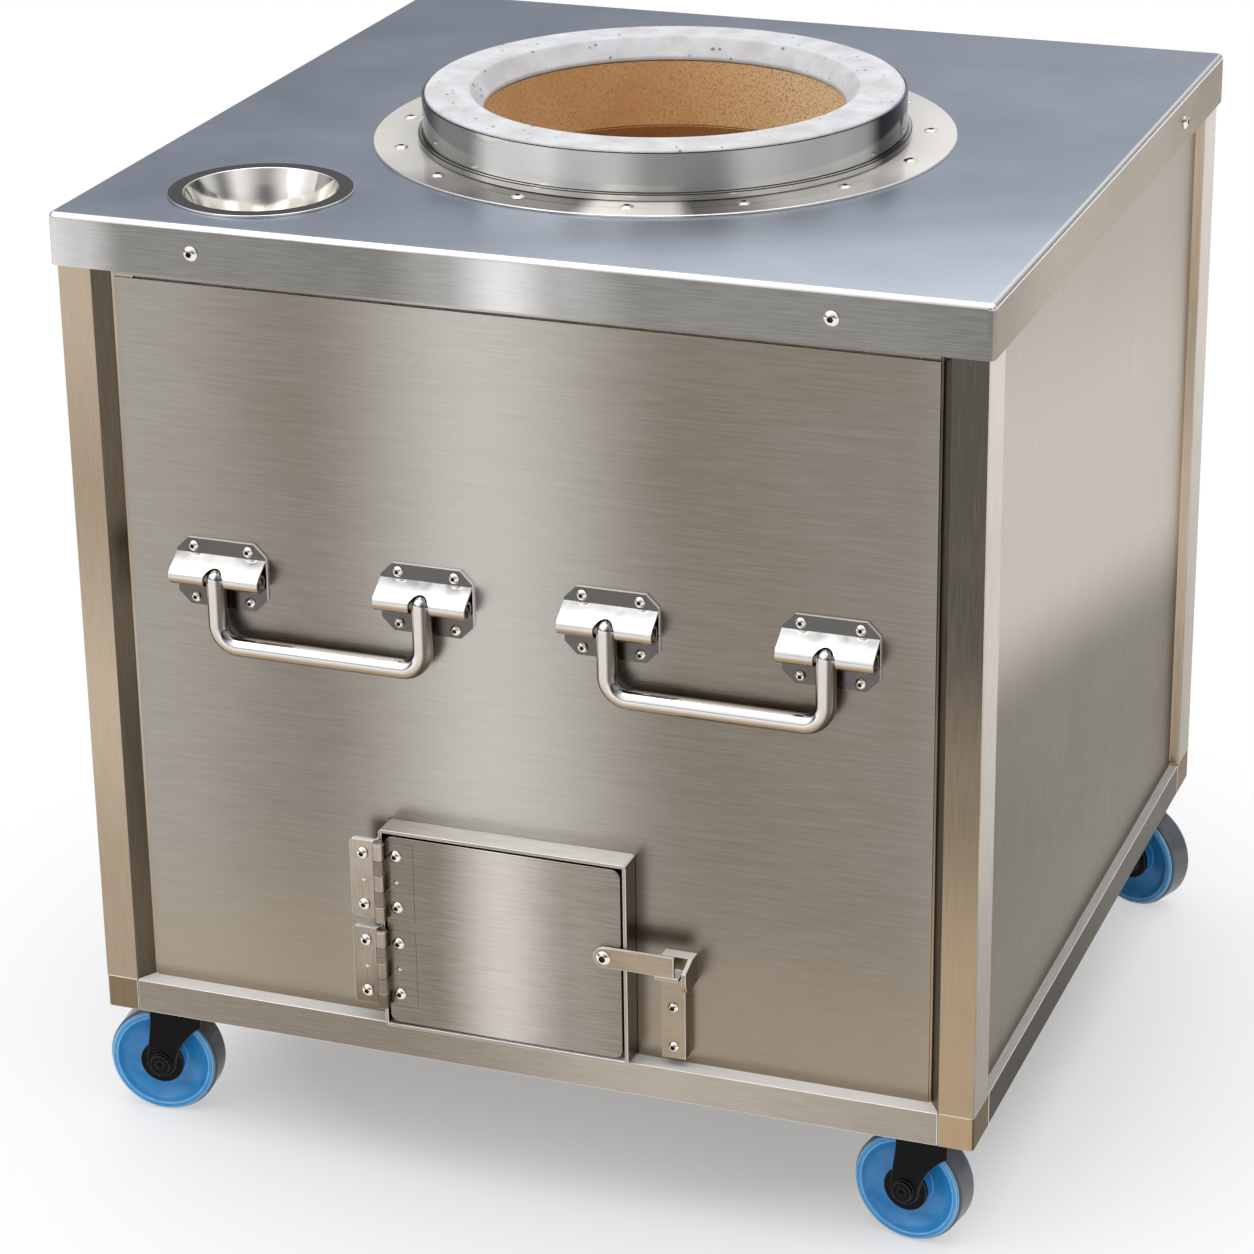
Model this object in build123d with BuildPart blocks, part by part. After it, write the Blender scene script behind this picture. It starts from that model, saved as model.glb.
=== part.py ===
from build123d import *
import os
from math import cos, radians, sin

os.makedirs("parts", exist_ok=True)

# Square clay oven on casters. Millimetres, +Z up, floor at z = 0, front towards -Y.
# The origin is on the floor under the middle of the whole oven.

# Driving dimensions

# Worktop
top_width = 800
top_depth = 790
top_height = 846
top_sheet = 1.5
lip_height = 45
lip_corner = 6
lip_bend = 5

# Casing
overhang = 4
casing_sheet = 1.5
frame_sheet = 2
front_recess = 16
side_recess = 8
post_front = 30
post_side = 45
post_front_run = 11
post_side_run = 2
post_flange = 19
post_bend = 2.5
panel_gap = 2.5
rail_height = 30
rail_ledge = 40
rail_seam = 0.6
header_drop = 9
header_seam = 2.5
foot_front = 30
foot_side = 47
foot_bend = 4
pad_width = 92
pad_thickness = 6
base_sheet = 2
base_margin = 3
casing_clearance = 0.3

# Mouth
mouth_x = 2
mouth_setback = 374
flange_radius = 252
flange_bore = 196
flange_sheet = 2
flange_edge = 0.6
flange_screw_circle = 229
flange_screw_count = 15
flange_screw_phase = -174
collar_radius = 209
collar_wall = 2
collar_height = 40
collar_foot_width = 4
collar_foot_height = 6
ring_rise = 44
ring_bore_top = 166.5
ring_bore_low = 156
ring_chamfer = 16
ring_edge = 2

# Clay pot
pot_wall = 34
pot_neck_radius = 157
pot_neck_height = 60
pot_belly_radius = 260
pot_belly_height = 478
pot_foot_radius = 204
pot_floor = 28
pot_joint = 0.5
pot_courses = 5
pot_rim_drop = 20
grate_ledge_height = 293
grate_ledge_width = 14
grate_thickness = 8
grate_rim = 12
grate_bar = 9
grate_slot = 14
grate_clearance = 1.5
pot_clearance = 0.5

# Cup
cup_inset = 142.5
cup_setback = 108
cup_rim_radius = 77.5
cup_rim_sheet = 2
cup_mouth_radius = 64
cup_ledge_radius = 57
cup_ledge_depth = 16
cup_floor_radius = 46
cup_depth = 56
cup_wall = 1.5
cup_clearance = 1

# Door and its frame
door_x = -13
door_width = 212
door_height = 176
door_depth = 15
door_face_sheet = 3
door_edge_sheet = 2
door_corner = 8
door_bend = 1.5
door_gap = 2
door_stand = 8
door_frame_wall = 3
door_frame_lift = 1
door_stop_width = 6
door_stop_thickness = 2.5
door_stop_clearance = 0.5
duct_width = 150
duct_height = 100
duct_sheet = 2
duct_reach = 106

# Hinges
hinge_height = 72
hinge_offset = 3
hinge_knuckle = 10
hinge_pin = 6
hinge_leaf = 2
door_leaf = 1.5
hinge_leaf_width = 23
hinge_leaf_chamfer = 2
door_leaf_width = 26
hinge_bracket = 4
hinge_drop = (6, 88)
knuckle_count = 5
knuckle_gap = 0.4
pin_head_height = 2
pin_head_inset = 0.5
hinge_screw_rise = 24
hinge_screw_inset = 11
door_screw_inset = 10

# Latch
latch_height = 18
latch_sheet = 4
latch_reach = 62
latch_inset = 14
latch_below_top = 80
latch_stand = 1
keeper_width = 21
keeper_height = 84
keeper_thickness = 12
keeper_pass = 4
keeper_shelf = 3
keeper_rise = 2.4
keeper_ear = 4
keeper_ear_gap = 7
keeper_ear_reach = 18
keeper_ear_front = 8.7
keeper_ear_slope = 5.7
keeper_ear_drop = 23
keeper_screw_drop = (36, 73)

# Handles
handle_x = 174
handle_pivot_height = 538
handle_leg_spacing = 186
handle_rod = 17
handle_drop = 59
handle_bend = 19
handle_plate_width = 82
handle_plate_height = 60
handle_plate_sheet = 3
handle_plate_chamfer = 11
handle_screw_x = 25
handle_screw_z = 23
hood_stand = 11
hood_radius = 8
hood_sheet = 1.95
hood_top = 17
hood_end_gap = 4
hood_slope = 34
notch_clearance = 0.8

# Casters
caster_height = 138
caster_inset = 52
caster_plate_width = 80
caster_plate_sheet = 3.5
caster_plate_corner = 6
caster_bolt_spacing = 60
caster_race_radius = 30
caster_race_height = 6.5
caster_crown_radius = 28
caster_head_gap = 0.4
caster_trail = 16
kingpin_radius = 6
kingpin_head_radius = 9
kingpin_head_height = 2.5
wheel_diameter = 100
wheel_width = 32
tyre_width = 26
tyre_depth = 5
tyre_edge = 1.5
rim_step = 1.5
hub_radius = 18
hub_width = 26
hub_chamfer = 2
web_thickness = 7
web_root = 1
web_hollow = 4
rim_wall = 3
rim_chamfer = 1
fork_sheet = 3
fork_clearance = 2
fork_top_clearance = 10
fork_leg_width = 48
fork_shoulder = 20
fork_hollow = 5
fork_end_radius = 13
axle_radius = 5
axle_head_radius = 9
axle_head_height = 4
axle_socket = 4
axle_socket_depth = 2.5
guard_radius = 20
guard_thickness = 3.5
caster_turns = {"front_left": 187, "front_right": 170, "back_left": 128, "back_right": 338}

# Fasteners
running_clearance = 0.05
seat_clearance = 0.3
hole_clearance = 0.1
screw_rim_share = 0.25
socket_share = 0.42
socket_depth_share = 0.5
small_head_radius = 4.7
small_head_height = 3.4
small_shank_radius = 2.5
door_head_radius = 5.5
door_head_height = 3.6
door_shank_radius = 3
lip_head_radius = 6.5
lip_head_height = 4
lip_shank_radius = 3
lip_shank_length = 2.5
flange_head_radius = 6
flange_head_height = 2.4
flange_shank_radius = 2.5
pivot_head_radius = 6.5
pivot_head_height = 3.6
pivot_shank_radius = 3.5
pivot_washer_margin = 1
bolt_radius = 4
bolt_head_radius = 7
bolt_head_height = 5
lip_screw_x = 271
lip_screw_setback = 630
lip_screw_drop = 23.5

# Derived places

casing_width = top_width - 2 * overhang
casing_depth = top_depth - 2 * overhang

# The hinge knuckles stand furthest forward and the lip screws furthest back.
front_reach = door_stand - overhang + seat_clearance + hinge_knuckle
body_y = (front_reach - lip_head_height) / 2
top_front = body_y - top_depth / 2
casing_front = top_front + overhang
panel_front = casing_front + front_recess
panel_inside = panel_front + casing_sheet

top_underside = top_height - top_sheet
lip_bottom = top_height - lip_height
rail_top = caster_height + pad_thickness + frame_sheet
rail_bottom = rail_top - rail_height
base_top = rail_top + base_sheet
panel_height = top_underside - rail_top
panel_edge_u = post_front + post_front_run + panel_gap
panel_edge_v = post_side + post_side_run + panel_gap

mouth_y = top_front + mouth_setback
mouth_axis = Axis((mouth_x, mouth_y, 0), (0, 0, 1))
mouth_plane = Plane(origin=(mouth_x, mouth_y, 0), x_dir=(1, 0, 0), z_dir=(0, -1, 0))
cup_x = cup_inset - top_width / 2
cup_y = top_front + cup_setback
cup_plane = Plane(origin=(cup_x, cup_y, 0), x_dir=(1, 0, 0), z_dir=(0, -1, 0))
cup_axis = Axis((cup_x, cup_y, 0), (0, 0, 1))

door_face = casing_front - door_stand
frame_opening_width = door_width + 2 * door_gap
frame_opening_height = door_height + 2 * door_gap
frame_width = frame_opening_width + 2 * door_frame_wall
frame_height = frame_opening_height + 2 * door_frame_wall
frame_base = rail_top + door_frame_lift
door_z = frame_base + frame_height / 2
door_top = door_z + door_height / 2
door_left = door_x - door_width / 2
door_right = door_x + door_width / 2
frame_left = door_x - frame_width / 2
frame_right = door_x + frame_width / 2
pot_base = base_top + pot_clearance
port_bottom = pot_base + pot_floor
port_top = port_bottom + duct_height + 2 * duct_sheet + 2 * pot_clearance
duct_base = port_bottom + pot_clearance + duct_sheet

corners = {"front_left": (-1, -1), "front_right": (1, -1), "back_left": (-1, 1), "back_right": (1, 1)}


def corner_point(side_x, side_y, u, v):
    """Point u in from the casing's side face and v in from its front or back face."""
    return (side_x * (casing_width / 2 - u), body_y + side_y * (casing_depth / 2 - v))


def front_plane(y):
    """Upright plane that faces the front, with x to the right and z up."""
    return Plane(origin=(0, y, 0), x_dir=(1, 0, 0), z_dir=(0, -1, 0))


def button_screw(head_radius, head_height, shank_radius, shank_length):
    """Domed screw with a hexagon socket, its head standing up from z = 0."""
    rim = head_height * screw_rim_share
    socket = head_radius * socket_share
    with BuildPart() as screw:
        with BuildSketch(Plane.XZ):
            with BuildLine():
                Polyline(
                    (0, head_height),
                    (0, -shank_length),
                    (shank_radius, -shank_length),
                    (shank_radius, 0),
                    (head_radius, 0),
                    (head_radius, rim),
                )
                TangentArc((0, head_height), (head_radius, rim), tangent=(1, 0))
            make_face()
        revolve(axis=Axis.Z)
        with BuildSketch(Plane.XY.offset(head_height)):
            RegularPolygon(radius=socket, side_count=6)
        extrude(amount=-head_height * socket_depth_share, mode=Mode.SUBTRACT)
    return screw.part


def facing_front(x, y, z):
    """Place on a face that looks to the front."""
    return Plane(origin=(x, y, z), x_dir=(1, 0, 0), z_dir=(0, -1, 0)).location


# Worktop

lip_screws_front = [(side * lip_screw_x, top_front, -1) for side in (-1, 1)]
lip_screws_back = [(side * lip_screw_x, top_front + top_depth, 1) for side in (-1, 1)]
lip_screw_z = top_height - lip_screw_drop
lip_screw_places = []
for x, y, way in lip_screws_front + lip_screws_back:
    lip_screw_places.append(Plane(origin=(x, y, lip_screw_z), x_dir=(1, 0, 0), z_dir=(0, way, 0)).location)
for side in (-1, 1):
    place = Plane(
        origin=(side * top_width / 2, top_front + lip_screw_setback, lip_screw_z),
        x_dir=(0, 1, 0),
        z_dir=(side, 0, 0),
    )
    lip_screw_places.append(place.location)

with BuildPart() as top_plate:
    with BuildSketch(Plane.XY.offset(lip_bottom)):
        with Locations((0, body_y)):
            RectangleRounded(top_width, top_depth, lip_corner)
    extrude(amount=lip_height)
    fillet(top_plate.faces().sort_by(Axis.Z)[-1].edges(), lip_bend)
    with BuildSketch(Plane.XY.offset(lip_bottom)):
        with Locations((0, body_y)):
            RectangleRounded(top_width - 2 * top_sheet, top_depth - 2 * top_sheet, lip_corner - top_sheet)
    extrude(amount=lip_height - top_sheet, mode=Mode.SUBTRACT)
    underside = top_plate.faces().filter_by(Plane.XY).sort_by(Axis.Z)[-2]
    fillet(underside.edges(), lip_bend - top_sheet)
    with BuildSketch(Plane.XY.offset(top_height)):
        with Locations((mouth_x, mouth_y)):
            Circle(flange_bore)
        with Locations((cup_x, cup_y)):
            Circle(cup_mouth_radius + cup_wall + cup_clearance)
        with Locations((mouth_x, mouth_y)):
            with PolarLocations(flange_screw_circle, flange_screw_count, flange_screw_phase):
                Circle(flange_shank_radius + hole_clearance)
    extrude(amount=-top_sheet, mode=Mode.SUBTRACT)
    with Locations(*lip_screw_places):
        Hole(lip_shank_radius + hole_clearance, depth=top_sheet + lip_bend)
top_plate.part.label = "top_plate"
export_step(top_plate.part, "parts/top_plate.step")

lip_screw = button_screw(lip_head_radius, lip_head_height, lip_shank_radius, lip_shank_length)
with BuildPart() as lip_screws:
    with Locations(*lip_screw_places):
        add(lip_screw)
lip_screws.part.label = "lip_screws"
export_step(lip_screws.part, "parts/lip_screws.step")

# Mouth

flange_top = top_height + flange_sheet
ring_top = top_height + ring_rise
pot_top = ring_top - pot_rim_drop
pot_neck_outer = pot_neck_radius + pot_wall

with BuildPart() as mouth_flange:
    with BuildSketch(Plane.XY.offset(top_height)):
        with Locations((mouth_x, mouth_y)):
            Circle(flange_radius)
            Circle(flange_bore, mode=Mode.SUBTRACT)
            with PolarLocations(flange_screw_circle, flange_screw_count, flange_screw_phase):
                Circle(flange_shank_radius + hole_clearance, mode=Mode.SUBTRACT)
    extrude(amount=flange_sheet)
    outer_rim = mouth_flange.edges().filter_by(GeomType.CIRCLE).sort_by(Edge.length)[-2:]
    chamfer(outer_rim.sort_by(Axis.Z)[-1], flange_edge)
mouth_flange.part.label = "mouth_flange"
export_step(mouth_flange.part, "parts/mouth_flange.step")

flange_screw = button_screw(
    flange_head_radius, flange_head_height, flange_shank_radius, flange_sheet + top_sheet
)
with BuildPart() as flange_screws:
    with Locations((mouth_x, mouth_y, flange_top)):
        with PolarLocations(flange_screw_circle, flange_screw_count, flange_screw_phase):
            add(flange_screw)
flange_screws.part.label = "flange_screws"
export_step(flange_screws.part, "parts/flange_screws.step")

collar_inner = collar_radius - collar_wall
with BuildPart() as mouth_collar:
    with BuildSketch(mouth_plane):
        with BuildLine():
            Polyline(
                (collar_inner, flange_top),
                (collar_radius + collar_foot_width, flange_top),
                (collar_radius + collar_foot_width, flange_top + collar_foot_height),
                (collar_radius, flange_top + collar_foot_height),
                (collar_radius, flange_top + collar_height),
                (collar_inner, flange_top + collar_height),
                close=True,
            )
        make_face()
    revolve(axis=mouth_axis)
mouth_collar.part.label = "mouth_collar"
export_step(mouth_collar.part, "parts/mouth_collar.step")

with BuildPart() as mouth_ring:
    ring_outer = collar_inner - casing_clearance
    with BuildSketch(mouth_plane):
        with BuildLine():
            Polyline(
                (ring_bore_low, pot_top + pot_clearance),
                (pot_neck_outer + pot_clearance, pot_top + pot_clearance),
                (pot_neck_outer + pot_clearance, flange_top),
                (ring_outer, flange_top),
                (ring_outer, ring_top - ring_edge),
                (ring_outer - ring_edge, ring_top),
                (ring_bore_top + ring_edge, ring_top),
                (ring_bore_top, ring_top - ring_edge),
                (ring_bore_low, ring_top - ring_chamfer),
                close=True,
            )
        make_face()
    revolve(axis=mouth_axis)
mouth_ring.part.label = "mouth_ring"
export_step(mouth_ring.part, "parts/mouth_ring.step")

# Clay pot, grate and insulation

shoulder_height = pot_top - pot_neck_height
foot_outer = pot_foot_radius + pot_wall
duct_outer_width = duct_width + 2 * duct_sheet
duct_outer_height = duct_height + 2 * duct_sheet
duct_z = duct_base + duct_height / 2

# The pot is built up from a floor, a ring round the ash pit, courses of equal height and a
# neck, each laid on a thin joint.
course_pitch = (shoulder_height - port_top) / pot_courses
pot_joints = [port_bottom] + [port_top + i * course_pitch for i in range(pot_courses + 1)]


def pot_outside(gap):
    """Outer side of the pot from the foot up to the rim, grown by a gap."""
    belly = ThreePointArc(
        (foot_outer + gap, pot_base),
        (pot_belly_radius + pot_wall + gap, pot_belly_height),
        (pot_neck_outer + gap, shoulder_height),
    )
    Line(belly @ 1, (pot_neck_outer + gap, pot_top))


with BuildPart() as clay_pot:
    with BuildSketch(mouth_plane):
        with BuildLine():
            pot_outside(0)
            Polyline(
                (pot_neck_outer, pot_top),
                (pot_neck_radius, pot_top),
                (pot_neck_radius, shoulder_height),
            )
            ThreePointArc(
                (pot_neck_radius, shoulder_height),
                (pot_belly_radius, pot_belly_height),
                (pot_foot_radius + grate_ledge_width, grate_ledge_height),
            )
            Polyline(
                (pot_foot_radius + grate_ledge_width, grate_ledge_height),
                (pot_foot_radius, grate_ledge_height),
                (pot_foot_radius, port_bottom),
                (0, port_bottom),
                (0, pot_base),
                (foot_outer, pot_base),
            )
        make_face()
    revolve(axis=mouth_axis)
    with BuildSketch(front_plane(mouth_y)):
        with Locations((door_x, duct_z)):
            Rectangle(duct_outer_width + 2 * pot_clearance, duct_outer_height + 2 * pot_clearance)
    extrude(amount=top_depth / 2, mode=Mode.SUBTRACT)
    for joint_height in pot_joints:
        with BuildSketch(Plane.XY.offset(joint_height)):
            with Locations((mouth_x, mouth_y)):
                Circle(pot_belly_radius + 2 * pot_wall)
        extrude(amount=pot_joint, mode=Mode.SUBTRACT)
clay_pot.part.label = "clay_pot"
export_step(clay_pot.part, "parts/clay_pot.step")

grate_radius = pot_foot_radius + grate_ledge_width - grate_clearance
grate_pitch = grate_bar + grate_slot
with BuildPart() as fire_grate:
    with BuildSketch(Plane.XY.offset(grate_ledge_height)):
        with Locations((mouth_x, mouth_y)):
            Circle(grate_radius)
    extrude(amount=grate_thickness)
    with BuildSketch(Plane.XY.offset(grate_ledge_height)):
        with Locations((mouth_x, mouth_y)):
            with GridLocations(grate_pitch, 0, int(2 * grate_radius / grate_pitch), 1):
                Rectangle(grate_slot, 2 * grate_radius)
            Rectangle(2 * grate_radius, grate_rim, mode=Mode.SUBTRACT)
            Circle(grate_radius - grate_rim, mode=Mode.INTERSECT)
    extrude(amount=grate_thickness, mode=Mode.SUBTRACT)
fire_grate.part.label = "fire_grate"
export_step(fire_grate.part, "parts/fire_grate.step")

filling_margin_x = side_recess + casing_sheet + frame_sheet + casing_clearance
filling_margin_y = front_recess + casing_sheet + frame_sheet + casing_clearance
with BuildPart() as insulation:
    with BuildSketch(Plane.XY.offset(base_top)):
        with Locations((0, body_y)):
            Rectangle(casing_width - 2 * filling_margin_x, casing_depth - 2 * filling_margin_y)
    extrude(amount=top_underside - base_top - casing_clearance)
    with BuildSketch(mouth_plane):
        with BuildLine():
            pot_outside(pot_clearance)
            Polyline(
                (pot_neck_outer + pot_clearance, pot_top),
                (0, pot_top),
                (0, pot_base),
                (foot_outer + pot_clearance, pot_base),
            )
        make_face()
    revolve(axis=mouth_axis, mode=Mode.SUBTRACT)
    with BuildSketch(Plane.XY.offset(base_top)):
        with Locations((mouth_x, mouth_y)):
            Circle(foot_outer + pot_clearance)
    extrude(amount=pot_base - base_top, mode=Mode.SUBTRACT)
    with BuildSketch(Plane.XY.offset(top_height)):
        with Locations((cup_x, cup_y)):
            Circle(cup_mouth_radius + cup_wall + cup_clearance)
    extrude(amount=-cup_depth - cup_wall - cup_clearance, mode=Mode.SUBTRACT)
    with BuildSketch(front_plane(mouth_y)):
        with Locations((door_x, duct_z)):
            Rectangle(duct_outer_width + 2 * pot_clearance, duct_outer_height + 2 * pot_clearance)
    extrude(amount=top_depth / 2, mode=Mode.SUBTRACT)
    with BuildSketch(front_plane(panel_inside + casing_sheet + frame_sheet + duct_sheet)):
        with Locations((door_x, door_z)):
            Rectangle(frame_width + 2 * pot_clearance, frame_height + 2 * pot_clearance)
    extrude(amount=top_depth / 2, mode=Mode.SUBTRACT)
insulation.part.label = "insulation"
export_step(insulation.part, "parts/insulation.step")

# Cup

cup_floor = top_height - cup_depth
cup_ledge = top_height - cup_ledge_depth
with BuildPart() as cup:
    with BuildSketch(cup_plane):
        with BuildLine():
            Polyline(
                (0, cup_floor),
                (cup_floor_radius, cup_floor),
                (cup_ledge_radius, cup_ledge),
                (cup_mouth_radius, top_height + cup_rim_sheet),
                (cup_rim_radius, top_height + cup_rim_sheet),
                (cup_rim_radius, top_height),
                (cup_mouth_radius + cup_wall, top_height),
                (cup_ledge_radius + cup_wall, cup_ledge),
                (cup_floor_radius + cup_wall, cup_floor - cup_wall),
                (0, cup_floor - cup_wall),
                close=True,
            )
        make_face()
    revolve(axis=cup_axis)
cup.part.label = "drop_in_cup"
export_step(cup.part, "parts/drop_in_cup.step")

# Casing

post_profile = [
    (post_front + post_front_run + post_flange, front_recess + casing_sheet),
    (post_front + post_front_run, front_recess + casing_sheet),
    (post_front, 0),
    (0, 0),
    (0, post_side),
    (side_recess + casing_sheet, post_side + post_side_run),
    (side_recess + casing_sheet, post_side + post_side_run + post_flange),
]

for corner, (side_x, side_y) in corners.items():
    with BuildPart() as post:
        with BuildSketch(Plane.XY.offset(rail_top)):
            with BuildLine():
                bends = [corner_point(side_x, side_y, u, v) for u, v in post_profile]
                FilletPolyline(*bends, radius=post_bend)
                inward = Side.LEFT if side_x * side_y < 0 else Side.RIGHT
                offset(amount=frame_sheet, side=inward, kind=Kind.INTERSECTION)
            make_face()
        extrude(amount=panel_height - casing_clearance)
    post.part.label = f"post_{corner}"
    export_step(post.part, f"parts/post_{corner}.step")

    with BuildPart() as foot:
        center = corner_point(side_x, side_y, foot_front / 2, foot_side / 2)
        inner_center = corner_point(side_x, side_y, foot_front / 2 + frame_sheet, foot_side / 2 + frame_sheet)
        with BuildSketch(Plane.XY.offset(rail_bottom)):
            with Locations(center):
                Rectangle(foot_front, foot_side)
            with Locations(inner_center):
                Rectangle(foot_front, foot_side, mode=Mode.SUBTRACT)
        extrude(amount=rail_height)
        with BuildSketch(Plane.XY.offset(rail_top - frame_sheet)):
            with Locations(center):
                Rectangle(foot_front, foot_side)
        extrude(amount=frame_sheet)
        outer_corner = (*corner_point(side_x, side_y, 0, 0), rail_top)
        fillet(foot.edges().filter_by(Axis.Z).sort_by_distance(outer_corner)[0], foot_bend)
        pad_center = corner_point(side_x, side_y, pad_width / 2 + frame_sheet, pad_width / 2 + frame_sheet)
        with BuildSketch(Plane.XY.offset(caster_height)):
            with Locations(pad_center):
                Rectangle(pad_width, pad_width)
        extrude(amount=pad_thickness)
        bolt_center = corner_point(side_x, side_y, caster_inset - overhang, caster_inset - overhang)
        with Locations((*bolt_center, caster_height)):
            with GridLocations(caster_bolt_spacing, caster_bolt_spacing, 2, 2):
                Hole(bolt_radius + hole_clearance, depth=pad_thickness)
    foot.part.label = f"foot_{corner}"
    export_step(foot.part, f"parts/foot_{corner}.step")

casing_front_back = {"front": -1, "back": 1}
casing_sides = {"left": -1, "right": 1}
rail_length_x = casing_width - 2 * (foot_front + rail_seam)
rail_length_y = casing_depth - 2 * (foot_side + rail_seam)

for name, way in casing_front_back.items():
    with BuildPart() as rail:
        wall_y = body_y + way * (casing_depth - frame_sheet) / 2
        ledge_y = body_y + way * (casing_depth - rail_ledge) / 2
        with BuildSketch(Plane.XY.offset(rail_bottom)):
            with Locations((0, wall_y)):
                Rectangle(rail_length_x, frame_sheet)
        extrude(amount=rail_height)
        with BuildSketch(Plane.XY.offset(rail_top - frame_sheet)):
            with Locations((0, ledge_y)):
                Rectangle(rail_length_x, rail_ledge)
        extrude(amount=frame_sheet)
    rail.part.label = f"rail_{name}"
    export_step(rail.part, f"parts/rail_{name}.step")

for name, way in casing_sides.items():
    with BuildPart() as rail:
        wall_x = way * (casing_width - frame_sheet) / 2
        ledge_x = way * (casing_width - rail_ledge) / 2
        with BuildSketch(Plane.XY.offset(rail_bottom)):
            with Locations((wall_x, body_y)):
                Rectangle(frame_sheet, rail_length_y)
        extrude(amount=rail_height)
        with BuildSketch(Plane.XY.offset(rail_top - frame_sheet)):
            with Locations((ledge_x, body_y)):
                Rectangle(rail_ledge, rail_length_y)
        extrude(amount=frame_sheet)
    rail.part.label = f"rail_{name}"
    export_step(rail.part, f"parts/rail_{name}.step")

with BuildPart() as base_plate:
    with BuildSketch(Plane.XY.offset(rail_top)):
        with Locations((0, body_y)):
            Rectangle(
                casing_width - 2 * (filling_margin_x + base_margin),
                casing_depth - 2 * (filling_margin_y + base_margin),
            )
    extrude(amount=base_sheet)
base_plate.part.label = "base_plate"
export_step(base_plate.part, "parts/base_plate.step")

handle_legs = []
for side in (-1, 1):
    for leg in (-1, 1):
        handle_legs.append(side * handle_x + leg * handle_leg_spacing / 2)
handle_screw_points = []
for leg_x in handle_legs:
    for screw_x in (-handle_screw_x, handle_screw_x):
        for screw_z in (-handle_screw_z, handle_screw_z):
            handle_screw_points.append((leg_x + screw_x, handle_pivot_height + screw_z))

latch_x = door_right - latch_inset
latch_z = door_top - latch_below_top
keeper_top = latch_z - latch_height / 2 - seat_clearance
latch_end = latch_x + latch_reach
keeper_x = latch_end + keeper_pass - keeper_width / 2
keeper_screw_points = [(keeper_x, keeper_top - drop) for drop in keeper_screw_drop]

with BuildPart() as front_panel:
    with BuildSketch(front_plane(panel_inside)):
        with Locations((0, rail_top + panel_height / 2)):
            Rectangle(casing_width - 2 * panel_edge_u, panel_height)
        with Locations((door_x, door_z)):
            Rectangle(
                frame_width + 2 * casing_clearance,
                frame_height + 2 * casing_clearance,
                mode=Mode.SUBTRACT,
            )
        with Locations(*handle_screw_points):
            Circle(small_shank_radius + hole_clearance, mode=Mode.SUBTRACT)
        with Locations(*keeper_screw_points):
            Circle(small_shank_radius + hole_clearance, mode=Mode.SUBTRACT)
        with Locations((0, lip_bottom - header_drop - header_seam / 2)):
            Rectangle(casing_width, header_seam, mode=Mode.SUBTRACT)
    extrude(amount=casing_sheet)
front_panel.part.label = "front_panel"
export_step(front_panel.part, "parts/front_panel.step")

with BuildPart() as back_panel:
    with BuildSketch(front_plane(body_y + casing_depth / 2 - front_recess)):
        with Locations((0, rail_top + panel_height / 2)):
            Rectangle(casing_width - 2 * panel_edge_u, panel_height)
    extrude(amount=casing_sheet)
back_panel.part.label = "back_panel"
export_step(back_panel.part, "parts/back_panel.step")

for name, way in casing_sides.items():
    with BuildPart() as side_panel:
        with BuildSketch(Plane.XY.offset(rail_top)):
            with Locations((way * (casing_width - casing_sheet - 2 * side_recess) / 2, body_y)):
                Rectangle(casing_sheet, casing_depth - 2 * panel_edge_v)
        extrude(amount=panel_height)
    side_panel.part.label = f"{name}_panel"
    export_step(side_panel.part, f"parts/{name}_panel.step")

# Door frame and duct

frame_back = panel_inside + frame_sheet
frame_depth = frame_back - door_face
stop_face = door_face + door_depth + door_stop_clearance
with BuildPart() as door_frame:
    with BuildSketch(front_plane(frame_back)):
        with Locations((door_x, door_z)):
            RectangleRounded(frame_width, frame_height, door_frame_wall)
            Rectangle(frame_opening_width, frame_opening_height, mode=Mode.SUBTRACT)
    extrude(amount=frame_depth)
    with BuildSketch(front_plane(stop_face + door_stop_thickness)):
        with Locations((door_x, door_z)):
            Rectangle(frame_opening_width, frame_opening_height)
            Rectangle(
                frame_opening_width - 2 * door_stop_width,
                frame_opening_height - 2 * door_stop_width,
                mode=Mode.SUBTRACT,
            )
    extrude(amount=door_stop_thickness)
door_frame.part.label = "door_frame"
export_step(door_frame.part, "parts/door_frame.step")

with BuildPart() as air_duct:
    with BuildSketch(front_plane(frame_back + duct_sheet)):
        with Locations((door_x, door_z)):
            Rectangle(frame_width, frame_height)
        with Locations((door_x, duct_z)):
            Rectangle(duct_width, duct_height, mode=Mode.SUBTRACT)
    extrude(amount=duct_sheet)
    with BuildSketch(front_plane(frame_back + duct_reach)):
        with Locations((door_x, duct_z)):
            Rectangle(duct_outer_width, duct_outer_height)
            Rectangle(duct_width, duct_height, mode=Mode.SUBTRACT)
    extrude(amount=duct_reach - duct_sheet)
air_duct.part.label = "air_duct"
export_step(air_duct.part, "parts/air_duct.step")

# Door

hinge_x = door_left - hinge_offset
hinge_y = door_face - seat_clearance - hinge_knuckle / 2
hinge_radius = hinge_knuckle / 2
hinge_centers = [door_top - drop - hinge_height / 2 for drop in hinge_drop]
knuckle_pitch = (hinge_height + knuckle_gap) / knuckle_count
knuckle_length = knuckle_pitch - knuckle_gap


def knuckle_bases(center, fixed):
    """Heights where the knuckles of one leaf start: the fixed leaf has the odd ones."""
    start = center - hinge_height / 2
    first = 0 if fixed else 1
    return [start + i * knuckle_pitch for i in range(first, knuckle_count, 2)]


door_leaf_left = hinge_x + hinge_radius - door_leaf
door_leaf_back = door_face + door_leaf
door_screw_x = door_left + door_screw_inset
door_screw_points = []
hinge_screw_points = []
for center in hinge_centers:
    for rise in (-hinge_screw_rise, hinge_screw_rise):
        door_screw_points.append((door_screw_x, center + rise))
        hinge_screw_points.append((hinge_x - hinge_radius - hinge_screw_inset, center + rise))

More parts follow.
